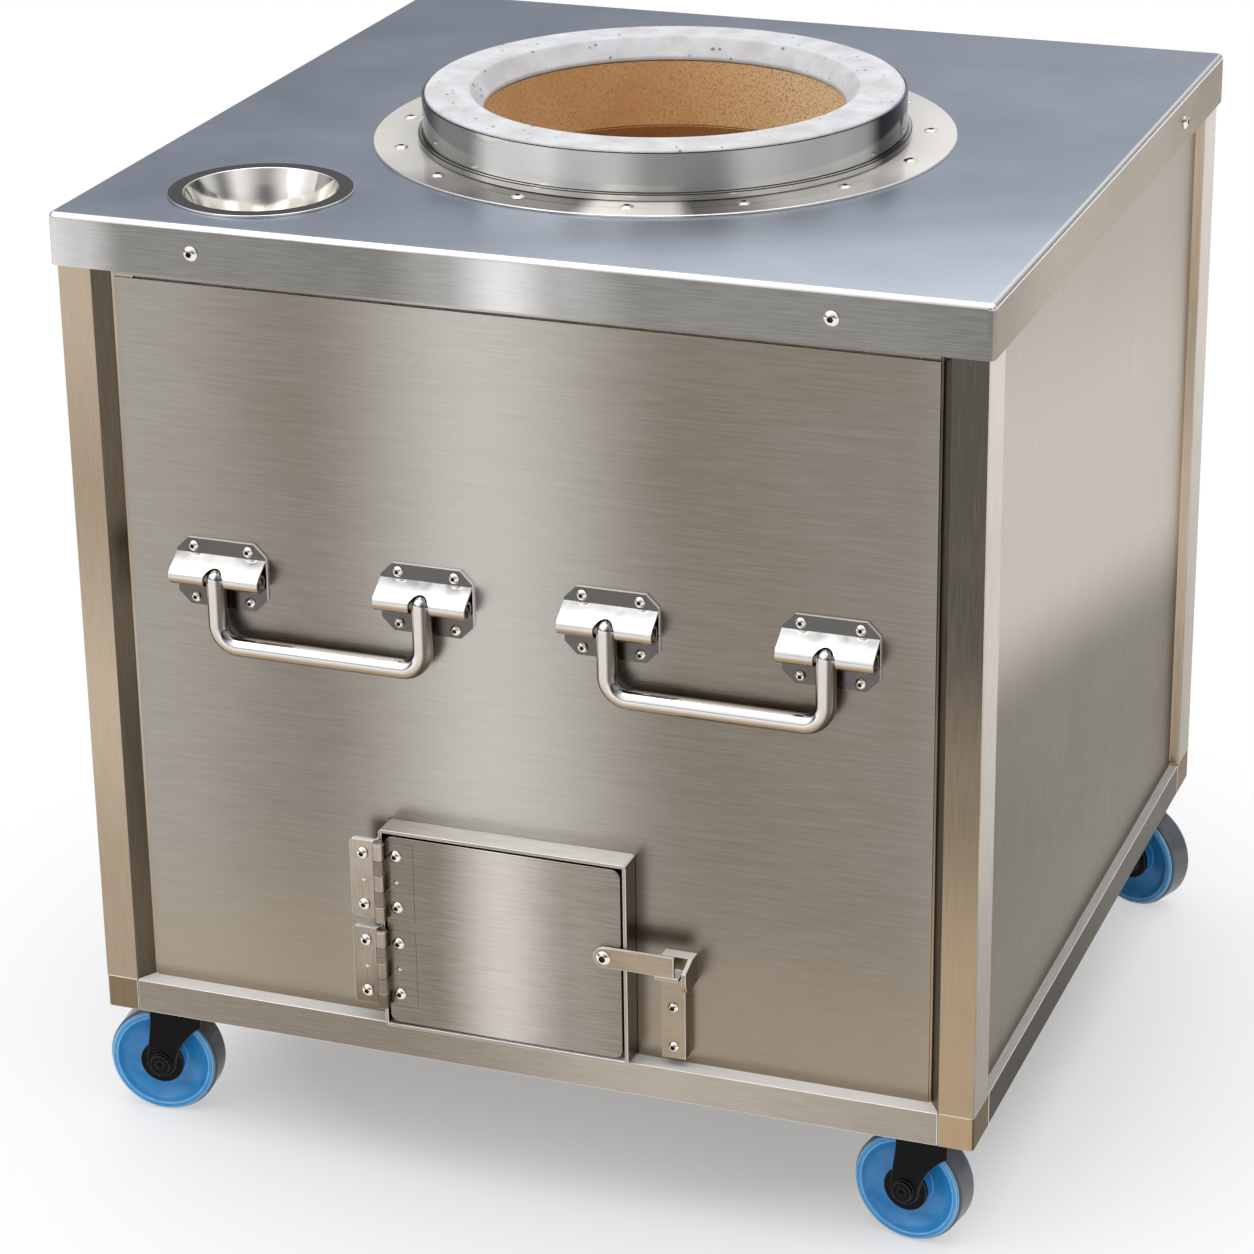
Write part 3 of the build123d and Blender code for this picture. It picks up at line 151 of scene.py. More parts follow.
# brushed sheet: short scratches along the grain, random clouds, and slow changes of tone across the sheet,
# which are painted reflections, highlights and shade
grainStretch = {"x": (0.035, 1, 1), "y": (1, 0.035, 1), "z": (1, 1, 0.035)}
sheetLook = {
    "roughness": 0.30, "smoother": 0.04, "rougher": 0.05, "metal": 1.0,
    "lines": 780.0, "lineTone": 0.16, "clouds": 7.0, "cloudTone": 0.05, "depth": 0.00022, "bite": 0.4,
    "direction": across, "tones": ((-0.5, 0.5), (0.5, 0.5)),  # tones at distances along the direction
    "glance": (255, 255, 255),  # what is seen along the sheet is tinted with it
    "low": None, "floorReflectionTones": ((0.15, 0.55), (0.34, 0.0)),  # painted warm reflection near the floor, and how far up
}
# ledges that look up get a near white finish that is no metal: a painted highlight
ledgeHighlightLook = {"metal": 0.0, "roughness": 0.42, "lineTone": 0.3}
# each finish blends its shade and light colours by its tones, which are painted reflections, highlights and
# shade; the X and Y pairs are lit and shaded copies of one steel
sheetFinishes = {
    # painted reflection: the worktop lightens towards the front right
    "worktopSteel": {
        "grain": "x", "light": (232, 240, 252), "shade": (150, 160, 176), "lineTone": 0.05,
        "direction": (0.5, -1, 0),
        "tones": ((-0.6, 0.0), (-0.2, 0.12), (0.2, 0.16), (0.33, 0.3), (0.43, 0.7), (0.6, 1.0))},
    # painted highlight: a bright upright band in the middle of the lip
    "lipSteelX": {
        "grain": "x", "light": (240, 239, 238), "shade": (128, 126, 122), "lineTone": 0.06,
        "tones": ((-0.4, 0.85), (-0.37, 0.6), (-0.33, 0.08), (-0.11, 0.06), (-0.055, 0.3), (0.0, 0.97),
                  (0.05, 0.4), (0.12, 0.08), (0.32, 0.1), (0.4, 0.04))},
    "lipSteelY": {
        "grain": "y", "light": (190, 182, 173), "shade": (150, 140, 127), "direction": along,
        "tones": ((-0.4, 0.3), (-0.2, 0.95), (0.1, 0.7), (0.4, 0.0)), "glance": (231, 226, 220)},
    # painted highlight: a bright upright band in the middle of the panel, with a painted warm reflection near
    # the floor
    "panelSteel": {
        "grain": "x", "light": (202, 198, 192), "shade": (132, 123, 111), "lineTone": 0.06,
        "tones": ((-0.37, 0.5), (-0.33, 0.42), (-0.19, 0.12), (-0.03, 0.95), (0.15, 0.06), (0.32, 0.08),
                  (0.37, 0.2)),
        "low": (172, 156, 134)},
    # painted reflections: light and dark zones up the side panels
    "sideSteel": {
        "grain": "z", "light": (206, 199, 190), "shade": (72, 62, 48), "lineTone": 0.06,
        "direction": (0, 0.22, 1),
        "tones": ((0.1, 0.25), (0.3, 0.08), (0.39, 0.12), (0.5, 0.95), (0.62, 0.95), (0.8, 0.7), (0.9, 0.6)),
        "glance": (241, 238, 233)},
    # painted light and shade along the height of the posts; the front right post is painted dark higher up
    "leftPostSteel": {
        "grain": "z", "light": (198, 180, 158), "shade": (160, 142, 120), "direction": upward,
        "tones": ((0.15, 0.3), (0.24, 0.35), (0.41, 0.95), (0.6, 0.3), (0.8, 0.95))},
    "rightPostSteel": {
        "grain": "z", "light": (178, 156, 128), "shade": (88, 84, 78), "direction": upward, "lineTone": 0.08,
        "tones": ((0.15, 1.0), (0.26, 0.95), (0.43, 0.45), (0.6, 0.03), (0.85, 0.02))},
    "outerPostSteel": {
        "grain": "z", "light": (216, 206, 197), "shade": (148, 137, 122), "direction": upward,
        "tones": ((0.15, 0.0), (0.25, 0.1), (0.43, 0.5), (0.6, 0.75), (0.8, 1.0))},
    # painted shade on the narrow return between post and panel
    "returnSteel": {"grain": "z", "light": (122, 110, 95), "shade": (92, 82, 68)},
    # painted reflection: the front rail lightens right of the middle; the side rails are darker, in painted
    # shade
    "railSteelX": {
        "grain": "x", "light": (188, 178, 166), "shade": (140, 130, 117),
        "tones": ((-0.4, 0.2), (-0.14, 0.06), (0.13, 0.95), (0.4, 0.5))},
    "railSteelY": {
        "grain": "y", "light": (112, 107, 99), "shade": (62, 56, 48), "direction": along,
        "tones": ((-0.4, 0.2), (-0.14, 0.06), (0.13, 0.95), (0.4, 0.5)), "glance": (210, 207, 203)},
    # painted light and shade: the feet lighten to the right, and their sides are darker
    "footSteelX": {
        "grain": "z", "light": (184, 158, 126), "shade": (134, 115, 92), "tones": ((-0.35, 0.0), (0.3, 1.0))},
    "footSteelY": {
        "grain": "z", "light": (116, 100, 82), "shade": (88, 74, 58), "glance": (228, 219, 207)},
    # painted highlight: a bright upright band across the door
    "doorSteel": {
        "grain": "x", "light": (214, 208, 201), "shade": (132, 121, 108), "lineTone": 0.1,
        "tones": ((-0.12, 0.05), (-0.08, 0.06), (-0.014, 0.95), (0.05, 0.25), (0.094, 0.12))},
    "frameSteel": {"grain": "x", "light": (190, 183, 174), "shade": (150, 140, 128)},
    # painted light and shade: the hinge leaves are lighter higher up
    "hingeSteel": {
        "grain": "z", "light": (194, 182, 168), "shade": (120, 104, 86), "cloudTone": 0.25, "clouds": 16.0,
        "direction": upward, "tones": ((0.17, 0.25), (0.24, 0.55), (0.32, 0.9))},
    "latchSteel": {
        "grain": "x", "light": (184, 168, 147), "shade": (154, 136, 113), "cloudTone": 0.3, "clouds": 20.0},
    "zincSteel": {"grain": "x", "light": (176, 180, 182), "shade": (150, 154, 158)},
    # painted highlight on the rails' ledges
    "ledgeSteelX": {"grain": "x", "light": (254, 252, 248), "shade": (238, 234, 228), **ledgeHighlightLook},
    "ledgeSteelY": {"grain": "y", "light": (212, 208, 203), "shade": (184, 179, 172), **ledgeHighlightLook},
    # painted highlight: near white on rounded edges, the lip's bend and the studs
    "edgeSteel": {"grain": "x", "light": (255, 254, 251), "shade": (244, 240, 234), "roughness": 0.24},
    # painted highlight on tops and rims
    "brightTopSteel": {
        "grain": "x", "light": (254, 252, 248), "shade": (236, 231, 224), "metal": 0.15, "roughness": 0.32},
    "shadeSteel": {"grain": "x", "light": (118, 104, 86), "shade": (96, 83, 66)},
    # painted highlight on the top of the door frame
    "frameTopSteel": {
        "grain": "x", "light": (255, 252, 246), "shade": (178, 169, 157), "metal": 0.2,
        "tones": ((-0.13, 0.0), (-0.06, 0.6), (0.0, 0.8), (0.1, 1.0))},
}


def brushedSteel(name, look):
    material, tree, shader, place = newMaterial(name, look["metal"], look["roughness"])
    fine = noiseField(tree, place, look["lines"], 3.0, grainStretch[look["grain"]])
    cloud = noiseField(tree, place, look["clouds"], 3.0)
    # painted reflections, highlights and shade: tones along the direction blend shade into light; the lines
    # and clouds add random tone
    tone = toneCurve(tree, place, look["direction"], look["tones"])
    for field, amount in ((fine, look["lineTone"]), (cloud, look["cloudTone"])):
        tone = arithmetic(tree, "ADD", tone, remap(tree, field, -amount, amount))
    colour = blendColours(tree, tone, linear(*look["shade"]), linear(*look["light"]))
    # painted reflection: the sheet turns warmer towards the floor
    if look["low"]:
        floorReflection = toneCurve(tree, place, upward, look["floorReflectionTones"])
        colour = blendColours(tree, floorReflection, colour, linear(*look["low"]))
    tree.links.new(colour, shader.inputs["Base Color"])
    shader.inputs["Specular Tint"].default_value = linear(*look["glance"])
    worn = remap(tree, cloud, look["roughness"] - look["smoother"], look["roughness"] + look["rougher"])
    tree.links.new(worn, shader.inputs["Roughness"])
    addBump(tree, shader, fine, look["depth"], look["bite"])
    finishes[name] = material


for name, look in sheetFinishes.items():
    brushedSteel(name, {**sheetLook, **look})

# mirror polish: hardly rough, with the slow waves that pressing and polishing leave
polishLook = {"smears": 60.0, "smoother": 0.7, "rougher": 1.5, "waves": 22.0, "wave": 0.0005, "bite": 0.3}
mirrorFinishes = {
    "cupSteel": {"colour": (244, 239, 231), "roughness": 0.10},
    "cupShade": {"colour": (62, 60, 56), "roughness": 0.12},
    # painted shadow: the collar's rounded edges are dark, a shadow line at the ring and the flange
    "seatSteel": {"colour": (46, 43, 38), "roughness": 0.2},
    # painted dark reflection: the polished plates are given a dark colour for what they mirror
    "plateSteel": {"colour": (104, 101, 98), "roughness": 0.22},
    "screwSteel": {"colour": (244, 238, 228), "roughness": 0.10},
    # painted shade inside the screws' hexagon sockets
    "socketSteel": {"colour": (58, 52, 46), "roughness": 0.35},
}
# round polished parts: painted reflections, light and dark zones round their axis
mouthCentre = (0.002, -0.01585)
turnedFinishes = {
    "flangeSteel": {
        "light": (255, 250, 241), "shade": (84, 80, 73), "roughness": 0.06, "metal": 0.4,
        "stops": ((0.0, 0.8), (0.08, 0.9), (0.12, 0.75), (0.165, 0.3), (0.2, 0.1), (0.253, 0.05),
                  (0.268, 1.0), (0.308, 1.0), (0.32, 0.05), (0.345, 0.1), (0.38, 0.5), (0.43, 0.55),
                  (0.47, 0.95), (0.55, 0.95), (0.7, 0.55), (0.85, 0.45), (1.0, 0.8))},
    "collarSteel": {
        "light": (255, 252, 247), "shade": (20, 17, 12), "roughness": 0.06, "metal": 0.25,
        "stops": ((0.0, 0.4), (0.1, 0.05), (0.13, 0.3), (0.16, 0.3), (0.185, 1.0), (0.225, 1.0),
                  (0.245, 0.7), (0.27, 0.75), (0.30, 0.4), (0.335, 0.35), (0.36, 0.75), (0.42, 0.65),
                  (0.45, 0.5), (0.472, 0.0), (0.5, 0.0), (0.56, 0.6), (0.75, 0.5), (0.9, 0.8), (1.0, 0.4))},
}
# bars and rolled hoods: painted reflections, a painted highlight above, a warmer painted reflection beneath,
# and dark bands from the left flank to the right
barFinishes = {
    "handleSteel": {"light": (252, 251, 249), "under": (168, 146, 118), "flankReflection": (60, 54, 48),
                    "roughness": 0.11},
    "hoodSteel": {"light": (252, 251, 249), "under": (172, 148, 118), "flankReflection": (84, 76, 68),
                  "roughness": 0.17},
}
barLook = {
    "reflectionBands": ((0.04, 0.05), (0.13, 0.1), (0.18, 1.0), (0.28, 1.0), (0.33, 0.15), (0.37, 0.2), (0.42, 0.6),
              (0.50, 0.3), (0.56, 0.1), (0.75, 0.5)),
    "beneath": -0.3, "above": 0.25,  # how far a face looks up where one colour gives way to the other
}


def addPolish(tree, shader, place, roughness, **changes):
    look = {**polishLook, **changes}
    smears = noiseField(tree, place, look["smears"], 3.0)
    worn = remap(tree, smears, roughness * look["smoother"], roughness * look["rougher"])
    tree.links.new(worn, shader.inputs["Roughness"])
    addBump(tree, shader, noiseField(tree, place, look["waves"], 1.5), look["wave"], look["bite"])


def mirrorSteel(name, look):
    material, tree, shader, place = newMaterial(name, 1.0, look["roughness"])
    shader.inputs["Base Color"].default_value = linear(*look["colour"])
    addPolish(tree, shader, place, look["roughness"])
    finishes[name] = material


def turnedSteel(name, look):
    material, tree, shader, place = newMaterial(name, look["metal"], look["roughness"])
    # painted reflections round the mouth's axis
    tone = turnedTones(tree, place, mouthCentre, look["stops"])
    colour = blendColours(tree, tone, linear(*look["shade"]), linear(*look["light"]))
    tree.links.new(colour, shader.inputs["Base Color"])
    addPolish(tree, shader, place, look["roughness"], rougher=1.6, waves=20.0, wave=0.0006)
    finishes[name] = material


def barSteel(name, look):
    material, tree, shader, place = newMaterial(name, 1.0, look["roughness"])
    parts = addNode(tree, "ShaderNodeSeparateXYZ")
    normal = addNode(tree, "ShaderNodeTexCoord").outputs["Normal"]
    tree.links.new(normal, parts.inputs[0])
    # painted reflections: dark bands by the way a face turns, warmer beneath, lighter above
    reflectionBands = turnedTones(tree, normal, (0, 0), barLook["reflectionBands"])
    above = remap(tree, parts.outputs["Z"], 0, 1, barLook["beneath"], barLook["above"])
    body = blendColours(tree, above, linear(*look["under"]), linear(*look["light"]))
    tree.links.new(blendColours(tree, reflectionBands, linear(*look["flankReflection"]), body), shader.inputs["Base Color"])
    addPolish(tree, shader, place, look["roughness"], waves=30.0, wave=0.0003)
    finishes[name] = material


for make, table in ((mirrorSteel, mirrorFinishes), (turnedSteel, turnedFinishes), (barSteel, barFinishes)):
    for name, look in table.items():
        make(name, look)

refractoryLook = {
    "body": (212, 213, 216), "patch": (192, 190, 190), "pit": (140, 134, 130), "roughness": 0.8,
    "patches": 38.0, "pits": 120.0, "pitGroups": 45.0, "grain": 420.0,
    "pitEdge": (0.06, 0.18), "grainDepth": 0.0006, "pitDepth": 0.0012,
}


def castRefractory(look):
    material, tree, shader, place = newMaterial("castRefractory", 0.0, look["roughness"])
    patches = remap(tree, noiseField(tree, place, look["patches"], 9.0), 0, 1, 0.34, 0.68)
    body = blendColours(tree, patches, linear(*look["body"]), linear(*look["patch"]))
    pits = addNode(tree, "ShaderNodeTexVoronoi", values={"Scale": look["pits"], "Randomness": 1.0})
    tree.links.new(place, pits.inputs["Vector"])
    # only where this field is high do the pits open
    groups = remap(tree, noiseField(tree, place, look["pitGroups"], 3.0), 0.32, -0.12, 0.3, 0.68)
    edge = arithmetic(tree, "ADD", pits.outputs["Distance"], groups)
    holes = remap(tree, edge, 1, 0, *look["pitEdge"])
    # painted shade: the pits are darker in their hollows
    tree.links.new(blendColours(tree, holes, body, linear(*look["pit"])), shader.inputs["Base Color"])
    grain = addBump(tree, shader, noiseField(tree, place, look["grain"], 3.0), look["grainDepth"], 0.4)
    addBump(tree, shader, remap(tree, edge, 0, 1, *look["pitEdge"]), look["pitDepth"], 0.7, grain)
    finishes["castRefractory"] = material


clayLook = {
    "body": (222, 168, 110), "light": (238, 194, 140), "paintedLight": (255, 226, 178), "speck": (204, 152, 98),
    "roughness": 0.88, "patches": 9.0, "specks": 520.0, "grain": 320.0, "waves": 30.0,
    "paintedLightTones": ((-0.05, 0.0), (0.15, 1.0)), "grainDepth": 0.0010, "waveDepth": 0.003,
}


def firedClay(look):
    material, tree, shader, place = newMaterial("firedClay", 0.0, look["roughness"])
    patches = remap(tree, noiseField(tree, place, look["patches"], 4.0), 0, 1, 0.35, 0.65)
    body = blendColours(tree, patches, linear(*look["body"]), linear(*look["light"]))
    # painted light: the clay turns lighter towards +x, the side of the inner wall that the light falls on
    paintedLightShare = toneCurve(tree, place, across, look["paintedLightTones"])
    body = blendColours(tree, paintedLightShare, body, linear(*look["paintedLight"]))
    specks = remap(tree, noiseField(tree, place, look["specks"], 4.0), 1, 0, 0.36, 0.5)
    tree.links.new(blendColours(tree, specks, body, linear(*look["speck"])), shader.inputs["Base Color"])
    grain = addBump(tree, shader, noiseField(tree, place, look["grain"], 5.0), look["grainDepth"], 0.6)
    addBump(tree, shader, noiseField(tree, place, look["waves"], 2.0), look["waveDepth"], 0.35, grain)
    finishes["firedClay"] = material


castRefractory(refractoryLook)
firedClay(clayLook)

mouldedLook = {"gloss": 0.5, "coatRoughness": 0.12, "clouds": 60.0, "grain": 900.0, "depth": 0.00006}
mouldedFinishes = {
    "wheelBlue": {"colour": (62, 162, 226), "shade": (42, 144, 212), "roughness": 0.3, "coat": 0.25},
    # painted highlight: lighter blue on the wheels' rounded edges
    "wheelRim": {"colour": (150, 200, 236), "shade": (122, 184, 228), "roughness": 0.25, "coat": 0.4},
    "treadGrey": {"colour": (92, 95, 99), "shade": (76, 79, 83), "roughness": 0.32, "coat": 0.15,
                  "gloss": 0.45},
    "forkBlack": {"colour": (10, 10, 11), "shade": (5, 5, 6), "roughness": 0.34, "coat": 0.0, "gloss": 0.12},
    # painted highlight: grey on the forks' rounded edges
    "forkEdge": {"colour": (74, 74, 76), "shade": (56, 56, 58), "roughness": 0.3, "coat": 0.0, "gloss": 0.4},
}


def mouldedPlastic(name, look):
    material, tree, shader, place = newMaterial(name, 0.0, look["roughness"])
    shader.inputs["Specular IOR Level"].default_value = look["gloss"]
    tone = remap(tree, noiseField(tree, place, look["clouds"], 3.0), 0, 1)
    colour = blendColours(tree, tone, linear(*look["colour"]), linear(*look["shade"]))
    tree.links.new(colour, shader.inputs["Base Color"])
    shader.inputs["Coat Weight"].default_value = look["coat"]
    shader.inputs["Coat Roughness"].default_value = look["coatRoughness"]
    addBump(tree, shader, noiseField(tree, place, look["grain"], 2.0), look["depth"], 0.3)
    finishes[name] = material


for name, look in mouldedFinishes.items():
    mouldedPlastic(name, {**mouldedLook, **look})

roughFinishes = {
    "castIron": {"colour": (62, 60, 60), "shade": (44, 43, 44), "roughness": 0.62, "metal": 0.8,
                 "grain": 500.0, "depth": 0.0006},
    "mineralWool": {"colour": (226, 222, 208), "shade": (198, 192, 176), "roughness": 0.95, "metal": 0.0,
                    "grain": 260.0, "depth": 0.003},
}


def roughSolid(name, look):
    material, tree, shader, place = newMaterial(name, look["metal"], look["roughness"])
    tone = remap(tree, noiseField(tree, place, look["grain"] / 5, 4.0), 0, 1)
    colour = blendColours(tree, tone, linear(*look["colour"]), linear(*look["shade"]))
    tree.links.new(colour, shader.inputs["Base Color"])
    addBump(tree, shader, noiseField(tree, place, look["grain"], 4.0), look["depth"], 0.6)
    finishes[name] = material


for name, look in roughFinishes.items():
    roughSolid(name, look)
print("materials made:", len(finishes))

mergeLook = {"doubles": 0.00002, "flat": 0.0006}  # metres, and radians between faces run together


def mergedCopy(name):
    # the node's own form as one skin: doubled corners joined, flat faces run together
    bm = bmesh.new()
    bm.from_mesh(nodes[name].data)
    bmesh.ops.remove_doubles(bm, verts=bm.verts, dist=mergeLook["doubles"])
    bmesh.ops.dissolve_limit(bm, angle_limit=mergeLook["flat"], verts=bm.verts, edges=bm.edges)
    return bm


def finishPiece(bm, name, finish, body, stands=(), bevel=0.0, steps=2, sharp=32.0, edge=None):
    # edges sharper than the angle are rounded, and the rounding can have a finish of its own: a painted
    # highlight, and on the collar a painted shadow line
    mesh = bpy.data.meshes.new(name)
    names = list(finish) if isinstance(finish, (list, tuple)) else [finish]
    for material in names + ([edge] if edge else []):
        mesh.materials.append(finishes[material])
    bm.to_mesh(mesh)
    bm.free()
    for face in mesh.polygons:
        face.use_smooth = True
    mesh.set_sharp_from_angle(angle=math.radians(sharp))
    piece = bpy.data.objects.new(name, mesh)
    bpy.context.scene.collection.objects.link(piece)
    if bevel:
        rounding = piece.modifiers.new("edge", "BEVEL")
        rounding.width = bevel
        rounding.segments = steps
        rounding.limit_method = "ANGLE"
        rounding.angle_limit = math.radians(sharp)
        rounding.harden_normals = True
        rounding.material = len(names) if edge else -1
    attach(piece, body)
    if stands:
        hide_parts(*stands)
    return piece


def dressNode(name, finish, bevel=0.0, steps=2, body="cabinet", pick=None, sharp=32.0, edge=None):
    bm = mergedCopy(name)
    if pick:
        pick(bm)
    return finishPiece(bm, name + "_finish", finish, body, (name,), bevel, steps, sharp, edge)


def byNormal(choose):
    # gives each face the number of its finish by the way it looks
    def pick(bm):
        bm.normal_update()
        for face in bm.faces:
            face.material_index = choose(face.normal)
    return pick


def islands(bm):
    # the loose parts of a mesh, each as a set of its corners
    left = set(bm.verts)
    while left:
        group = {left.pop()}
        front = list(group)
        while front:
            for link in front.pop().link_edges:
                for corner in link.verts:
                    if corner in left:
                        left.remove(corner)
                        group.add(corner)
                        front.append(corner)
        yield group


def pickSockets(reach):
    # the faces inside each screw's hexagon, nearer its axis than reach, given the painted shade of the socket
    def pick(bm):
        for group in islands(bm):
            spans = [(min(v.co[i] for v in group), max(v.co[i] for v in group)) for i in range(3)]
            sizes = [high - low for low, high in spans]
            axis = min(range(3), key=lambda i: abs(sizes[i - 1] - sizes[i - 2]))
            middle = Vector([(low + high) / 2 for low, high in spans])
            for face in {f for v in group for f in v.link_faces}:
                offsets = [v.co - middle for v in face.verts]
                for offset in offsets:
                    offset[axis] = 0
                if max(offset.length for offset in offsets) < reach:
                    face.material_index = 1
    return pick


# how much of a face's normal has to lie along an axis for it to count as facing that way
facing = {"level": 0.97, "square": 0.9, "mostly": 0.7, "half": 0.5, "bend": 0.12}


def cupFaces(normal):
    return 1 if abs(normal.z) > facing["square"] else 0


def lipOrTop(normal):
    # 0 the top, 1 and 2 the lip along and across, 3 the bend between them, in the painted highlight
    if abs(normal.z) > facing["level"]:
        return 0
    if normal.z > facing["bend"]:
        return 3
    return 2 if abs(normal.x) > facing["mostly"] else 1


def topAndSides(normal):
    # 0 the face, 1 what looks up, in a painted highlight, 2 what looks sideways or down, in painted shade
    if normal.z > facing["half"]:
        return 1
    return 2 if abs(normal.y) < facing["half"] else 0


# 0 a plate's face, 1 its rim, which gets the painted highlight
def rimFaces(normal):
    return 0 if abs(normal.y) > facing["square"] else 1


# 1 the ends across, the feet's sides in painted shade
def endsAcross(normal):
    return 1 if abs(normal.x) > facing["mostly"] else 0


# 1 a face that looks up, the ledge with its painted highlight
def ledgeUp(normal):
    return 1 if normal.z > facing["mostly"] else 0


def postSides(outward):
    # 0 the face, 1 the outer side, 2 the return towards the panel, in painted shade
    def choose(normal):
        if abs(normal.x) < facing["mostly"]:
            return 0
        return 1 if normal.x * outward > 0 else 2
    return choose


# how far each piece's edges are rounded, in metres
edgeWidths = {
    "lip": 0.0006, "panel": 0.0005, "post": 0.0006, "foot": 0.0008, "rail": 0.0006, "frame": 0.0009,
    "inside": 0.0003, "pot": 0.001, "grate": 0.001, "flange": 0.0004, "collar": 0.0008, "ring": 0.0015,
    "cup": 0.0006, "screw": 0.0002, "door": 0.0010, "leaf": 0.0008, "pin": 0.0003, "latch": 0.0010,
    "plate": 0.0009, "hood": 0.0004, "mount": 0.0005, "bolt": 0.0004, "fork": 0.0006, "wheel": 0.0008,
    "tyre": 0.0006,
}

dressNode("top_plate", ["worktopSteel", "lipSteelX", "lipSteelY", "edgeSteel"],
          edgeWidths["lip"], 3, pick=byNormal(lipOrTop), edge="edgeSteel")
for side in ("front", "back"):
    dressNode(side + "_panel", "panelSteel", edgeWidths["panel"], edge="edgeSteel")
for side in ("left", "right"):
    dressNode(side + "_panel", "sideSteel", edgeWidths["panel"], edge="edgeSteel")
for corner in corners:
    face = "rightPostSteel" if corner == "front_right" else "leftPostSteel"
    outward = 1 if "right" in corner else -1
    dressNode("post_" + corner, [face, "outerPostSteel", "returnSteel"],
              edgeWidths["post"], pick=byNormal(postSides(outward)), edge="edgeSteel")
    dressNode("foot_" + corner, ["footSteelX", "footSteelY"],
              edgeWidths["foot"], pick=byNormal(endsAcross), edge="edgeSteel")
for side in ("front", "back", "left", "right"):
    letter = "X" if side in ("front", "back") else "Y"
    dressNode("rail_" + side, ["railSteel" + letter, "ledgeSteel" + letter],
              edgeWidths["rail"], pick=byNormal(ledgeUp), edge="edgeSteel")
dressNode("base_plate", "panelSteel", edgeWidths["inside"])
dressNode("door_frame", ["frameSteel", "frameTopSteel", "shadeSteel"],
          edgeWidths["frame"], pick=byNormal(topAndSides), edge="edgeSteel")
dressNode("air_duct", "frameSteel", edgeWidths["inside"])
dressNode("insulation", "mineralWool")
dressNode("clay_pot", "firedClay", edgeWidths["pot"])
dressNode("fire_grate", "castIron", edgeWidths["grate"])
print("cabinet dressed")

dressNode("mouth_flange", "flangeSteel", edgeWidths["flange"], edge="edgeSteel")
dressNode("mouth_collar", "collarSteel", edgeWidths["collar"], edge="seatSteel")
dressNode("mouth_ring", "castRefractory", edgeWidths["ring"], 3)
dressNode("drop_in_cup", ["cupSteel", "cupShade"], edgeWidths["cup"],
          pick=byNormal(cupFaces), edge="edgeSteel")

# screws: the body that carries them, and how far from its axis a screw's hexagon reaches
screwSets = {
    "lip_screws": ("cabinet", 0.003), "flange_screws": ("cabinet", 0.0028),
    "hinge_screws": ("cabinet", 0.0025), "keeper_screws": ("cabinet", 0.0022),
    "handle_screws": ("cabinet", 0.0022), "door_screws": ("door", 0.0025), "latch_pivot": ("door", 0.003),
}
for name, (body, reach) in screwSets.items():
    dressNode(name, ["screwSteel", "socketSteel"], edgeWidths["screw"], body=body,
              pick=pickSockets(reach))
print("mouth and screws dressed")

dressNode("door_panel", "doorSteel", edgeWidths["door"], body="door", edge="edgeSteel")
dressNode("hinge_leaves_door", "doorSteel", body="door")
for name in ("hinge_leaves_fixed", "hinge_brackets"):
    dressNode(name, ["hingeSteel", "brightTopSteel", "shadeSteel"], edgeWidths["leaf"],
              pick=byNormal(topAndSides), edge="edgeSteel")
dressNode("hinge_pins", "hingeSteel", edgeWidths["pin"])
for name, body in (("latch_bar", "latch"), ("latch_keeper", "cabinet")):
    dressNode(name, ["latchSteel", "brightTopSteel", "shadeSteel"], edgeWidths["latch"], 3,
              body=body, pick=byNormal(topAndSides), edge="edgeSteel")

dressNode("handle_plates", ["plateSteel", "brightTopSteel"], edgeWidths["plate"], 3,
          pick=byNormal(rimFaces), edge="edgeSteel")
dressNode("handle_hoods", "hoodSteel", edgeWidths["hood"])
for side in ("left", "right"):
    dressNode("handle_bar_" + side, "handleSteel", body="handle_" + side, sharp=50)
print("door, latch and handles dressed")

dressNode("caster_plates", "zincSteel", edgeWidths["mount"])
dressNode("caster_bolts", "zincSteel", edgeWidths["bolt"])
for corner in corners:
    dressNode("caster_fork_" + corner, "forkBlack", edgeWidths["fork"], 3,
              body="fork_" + corner, edge="forkEdge")
    dressNode("caster_wheel_" + corner, "wheelBlue", edgeWidths["wheel"], 3,
              body="wheel_" + corner, edge="wheelRim")
    dressNode("caster_tyre_" + corner, "treadGrey", edgeWidths["tyre"], 3,
              body="wheel_" + corner)
print("casters dressed")

# small studs half way between the hinge screws, on the fixed leaves and on the door, in the near white of the
# edge finish: a painted glint
studLook = {"radius": 0.0033, "crown": 0.0009, "height": 0.0009, "sunk": 0.0002,
            "leafFront": -0.39615, "doorFront": -0.39385}


def screwPlaces(name):
    # the middle of each screw of a node, as x and z, from the lowest to the highest
    bm = mergedCopy(name)
    places = []
    for group in islands(bm):
        xs, zs = [v.co.x for v in group], [v.co.z for v in group]
        places.append(((min(xs) + max(xs)) / 2, (min(zs) + max(zs)) / 2))
    bm.free()
    return sorted(places, key=lambda place: place[1])


def studs(name, screws, face, body):
    bm = bmesh.new()
    outwards = Matrix.Rotation(math.radians(90), 3, "X")  # the crown of a stud looks to the front
    places = screwPlaces(screws)
    for low, high in zip(places[0::2], places[1::2]):
        seat = Vector(((low[0] + high[0]) / 2, face + studLook["sunk"], (low[1] + high[1]) / 2))
        made = bmesh.ops.create_cone(bm, cap_ends=True, segments=4, radius1=studLook["radius"],
                                     radius2=studLook["crown"], depth=studLook["height"] + studLook["sunk"])
        for corner in made["verts"]:
            corner.co = seat + outwards @ (corner.co + Vector((0, 0, studLook["height"] / 2)))
    return finishPiece(bm, name, "edgeSteel", body)


studs("hinge_studs", "hinge_screws", studLook["leafFront"], "cabinet")
studs("door_studs", "door_screws", studLook["doorFront"], "door")
print("studs set")

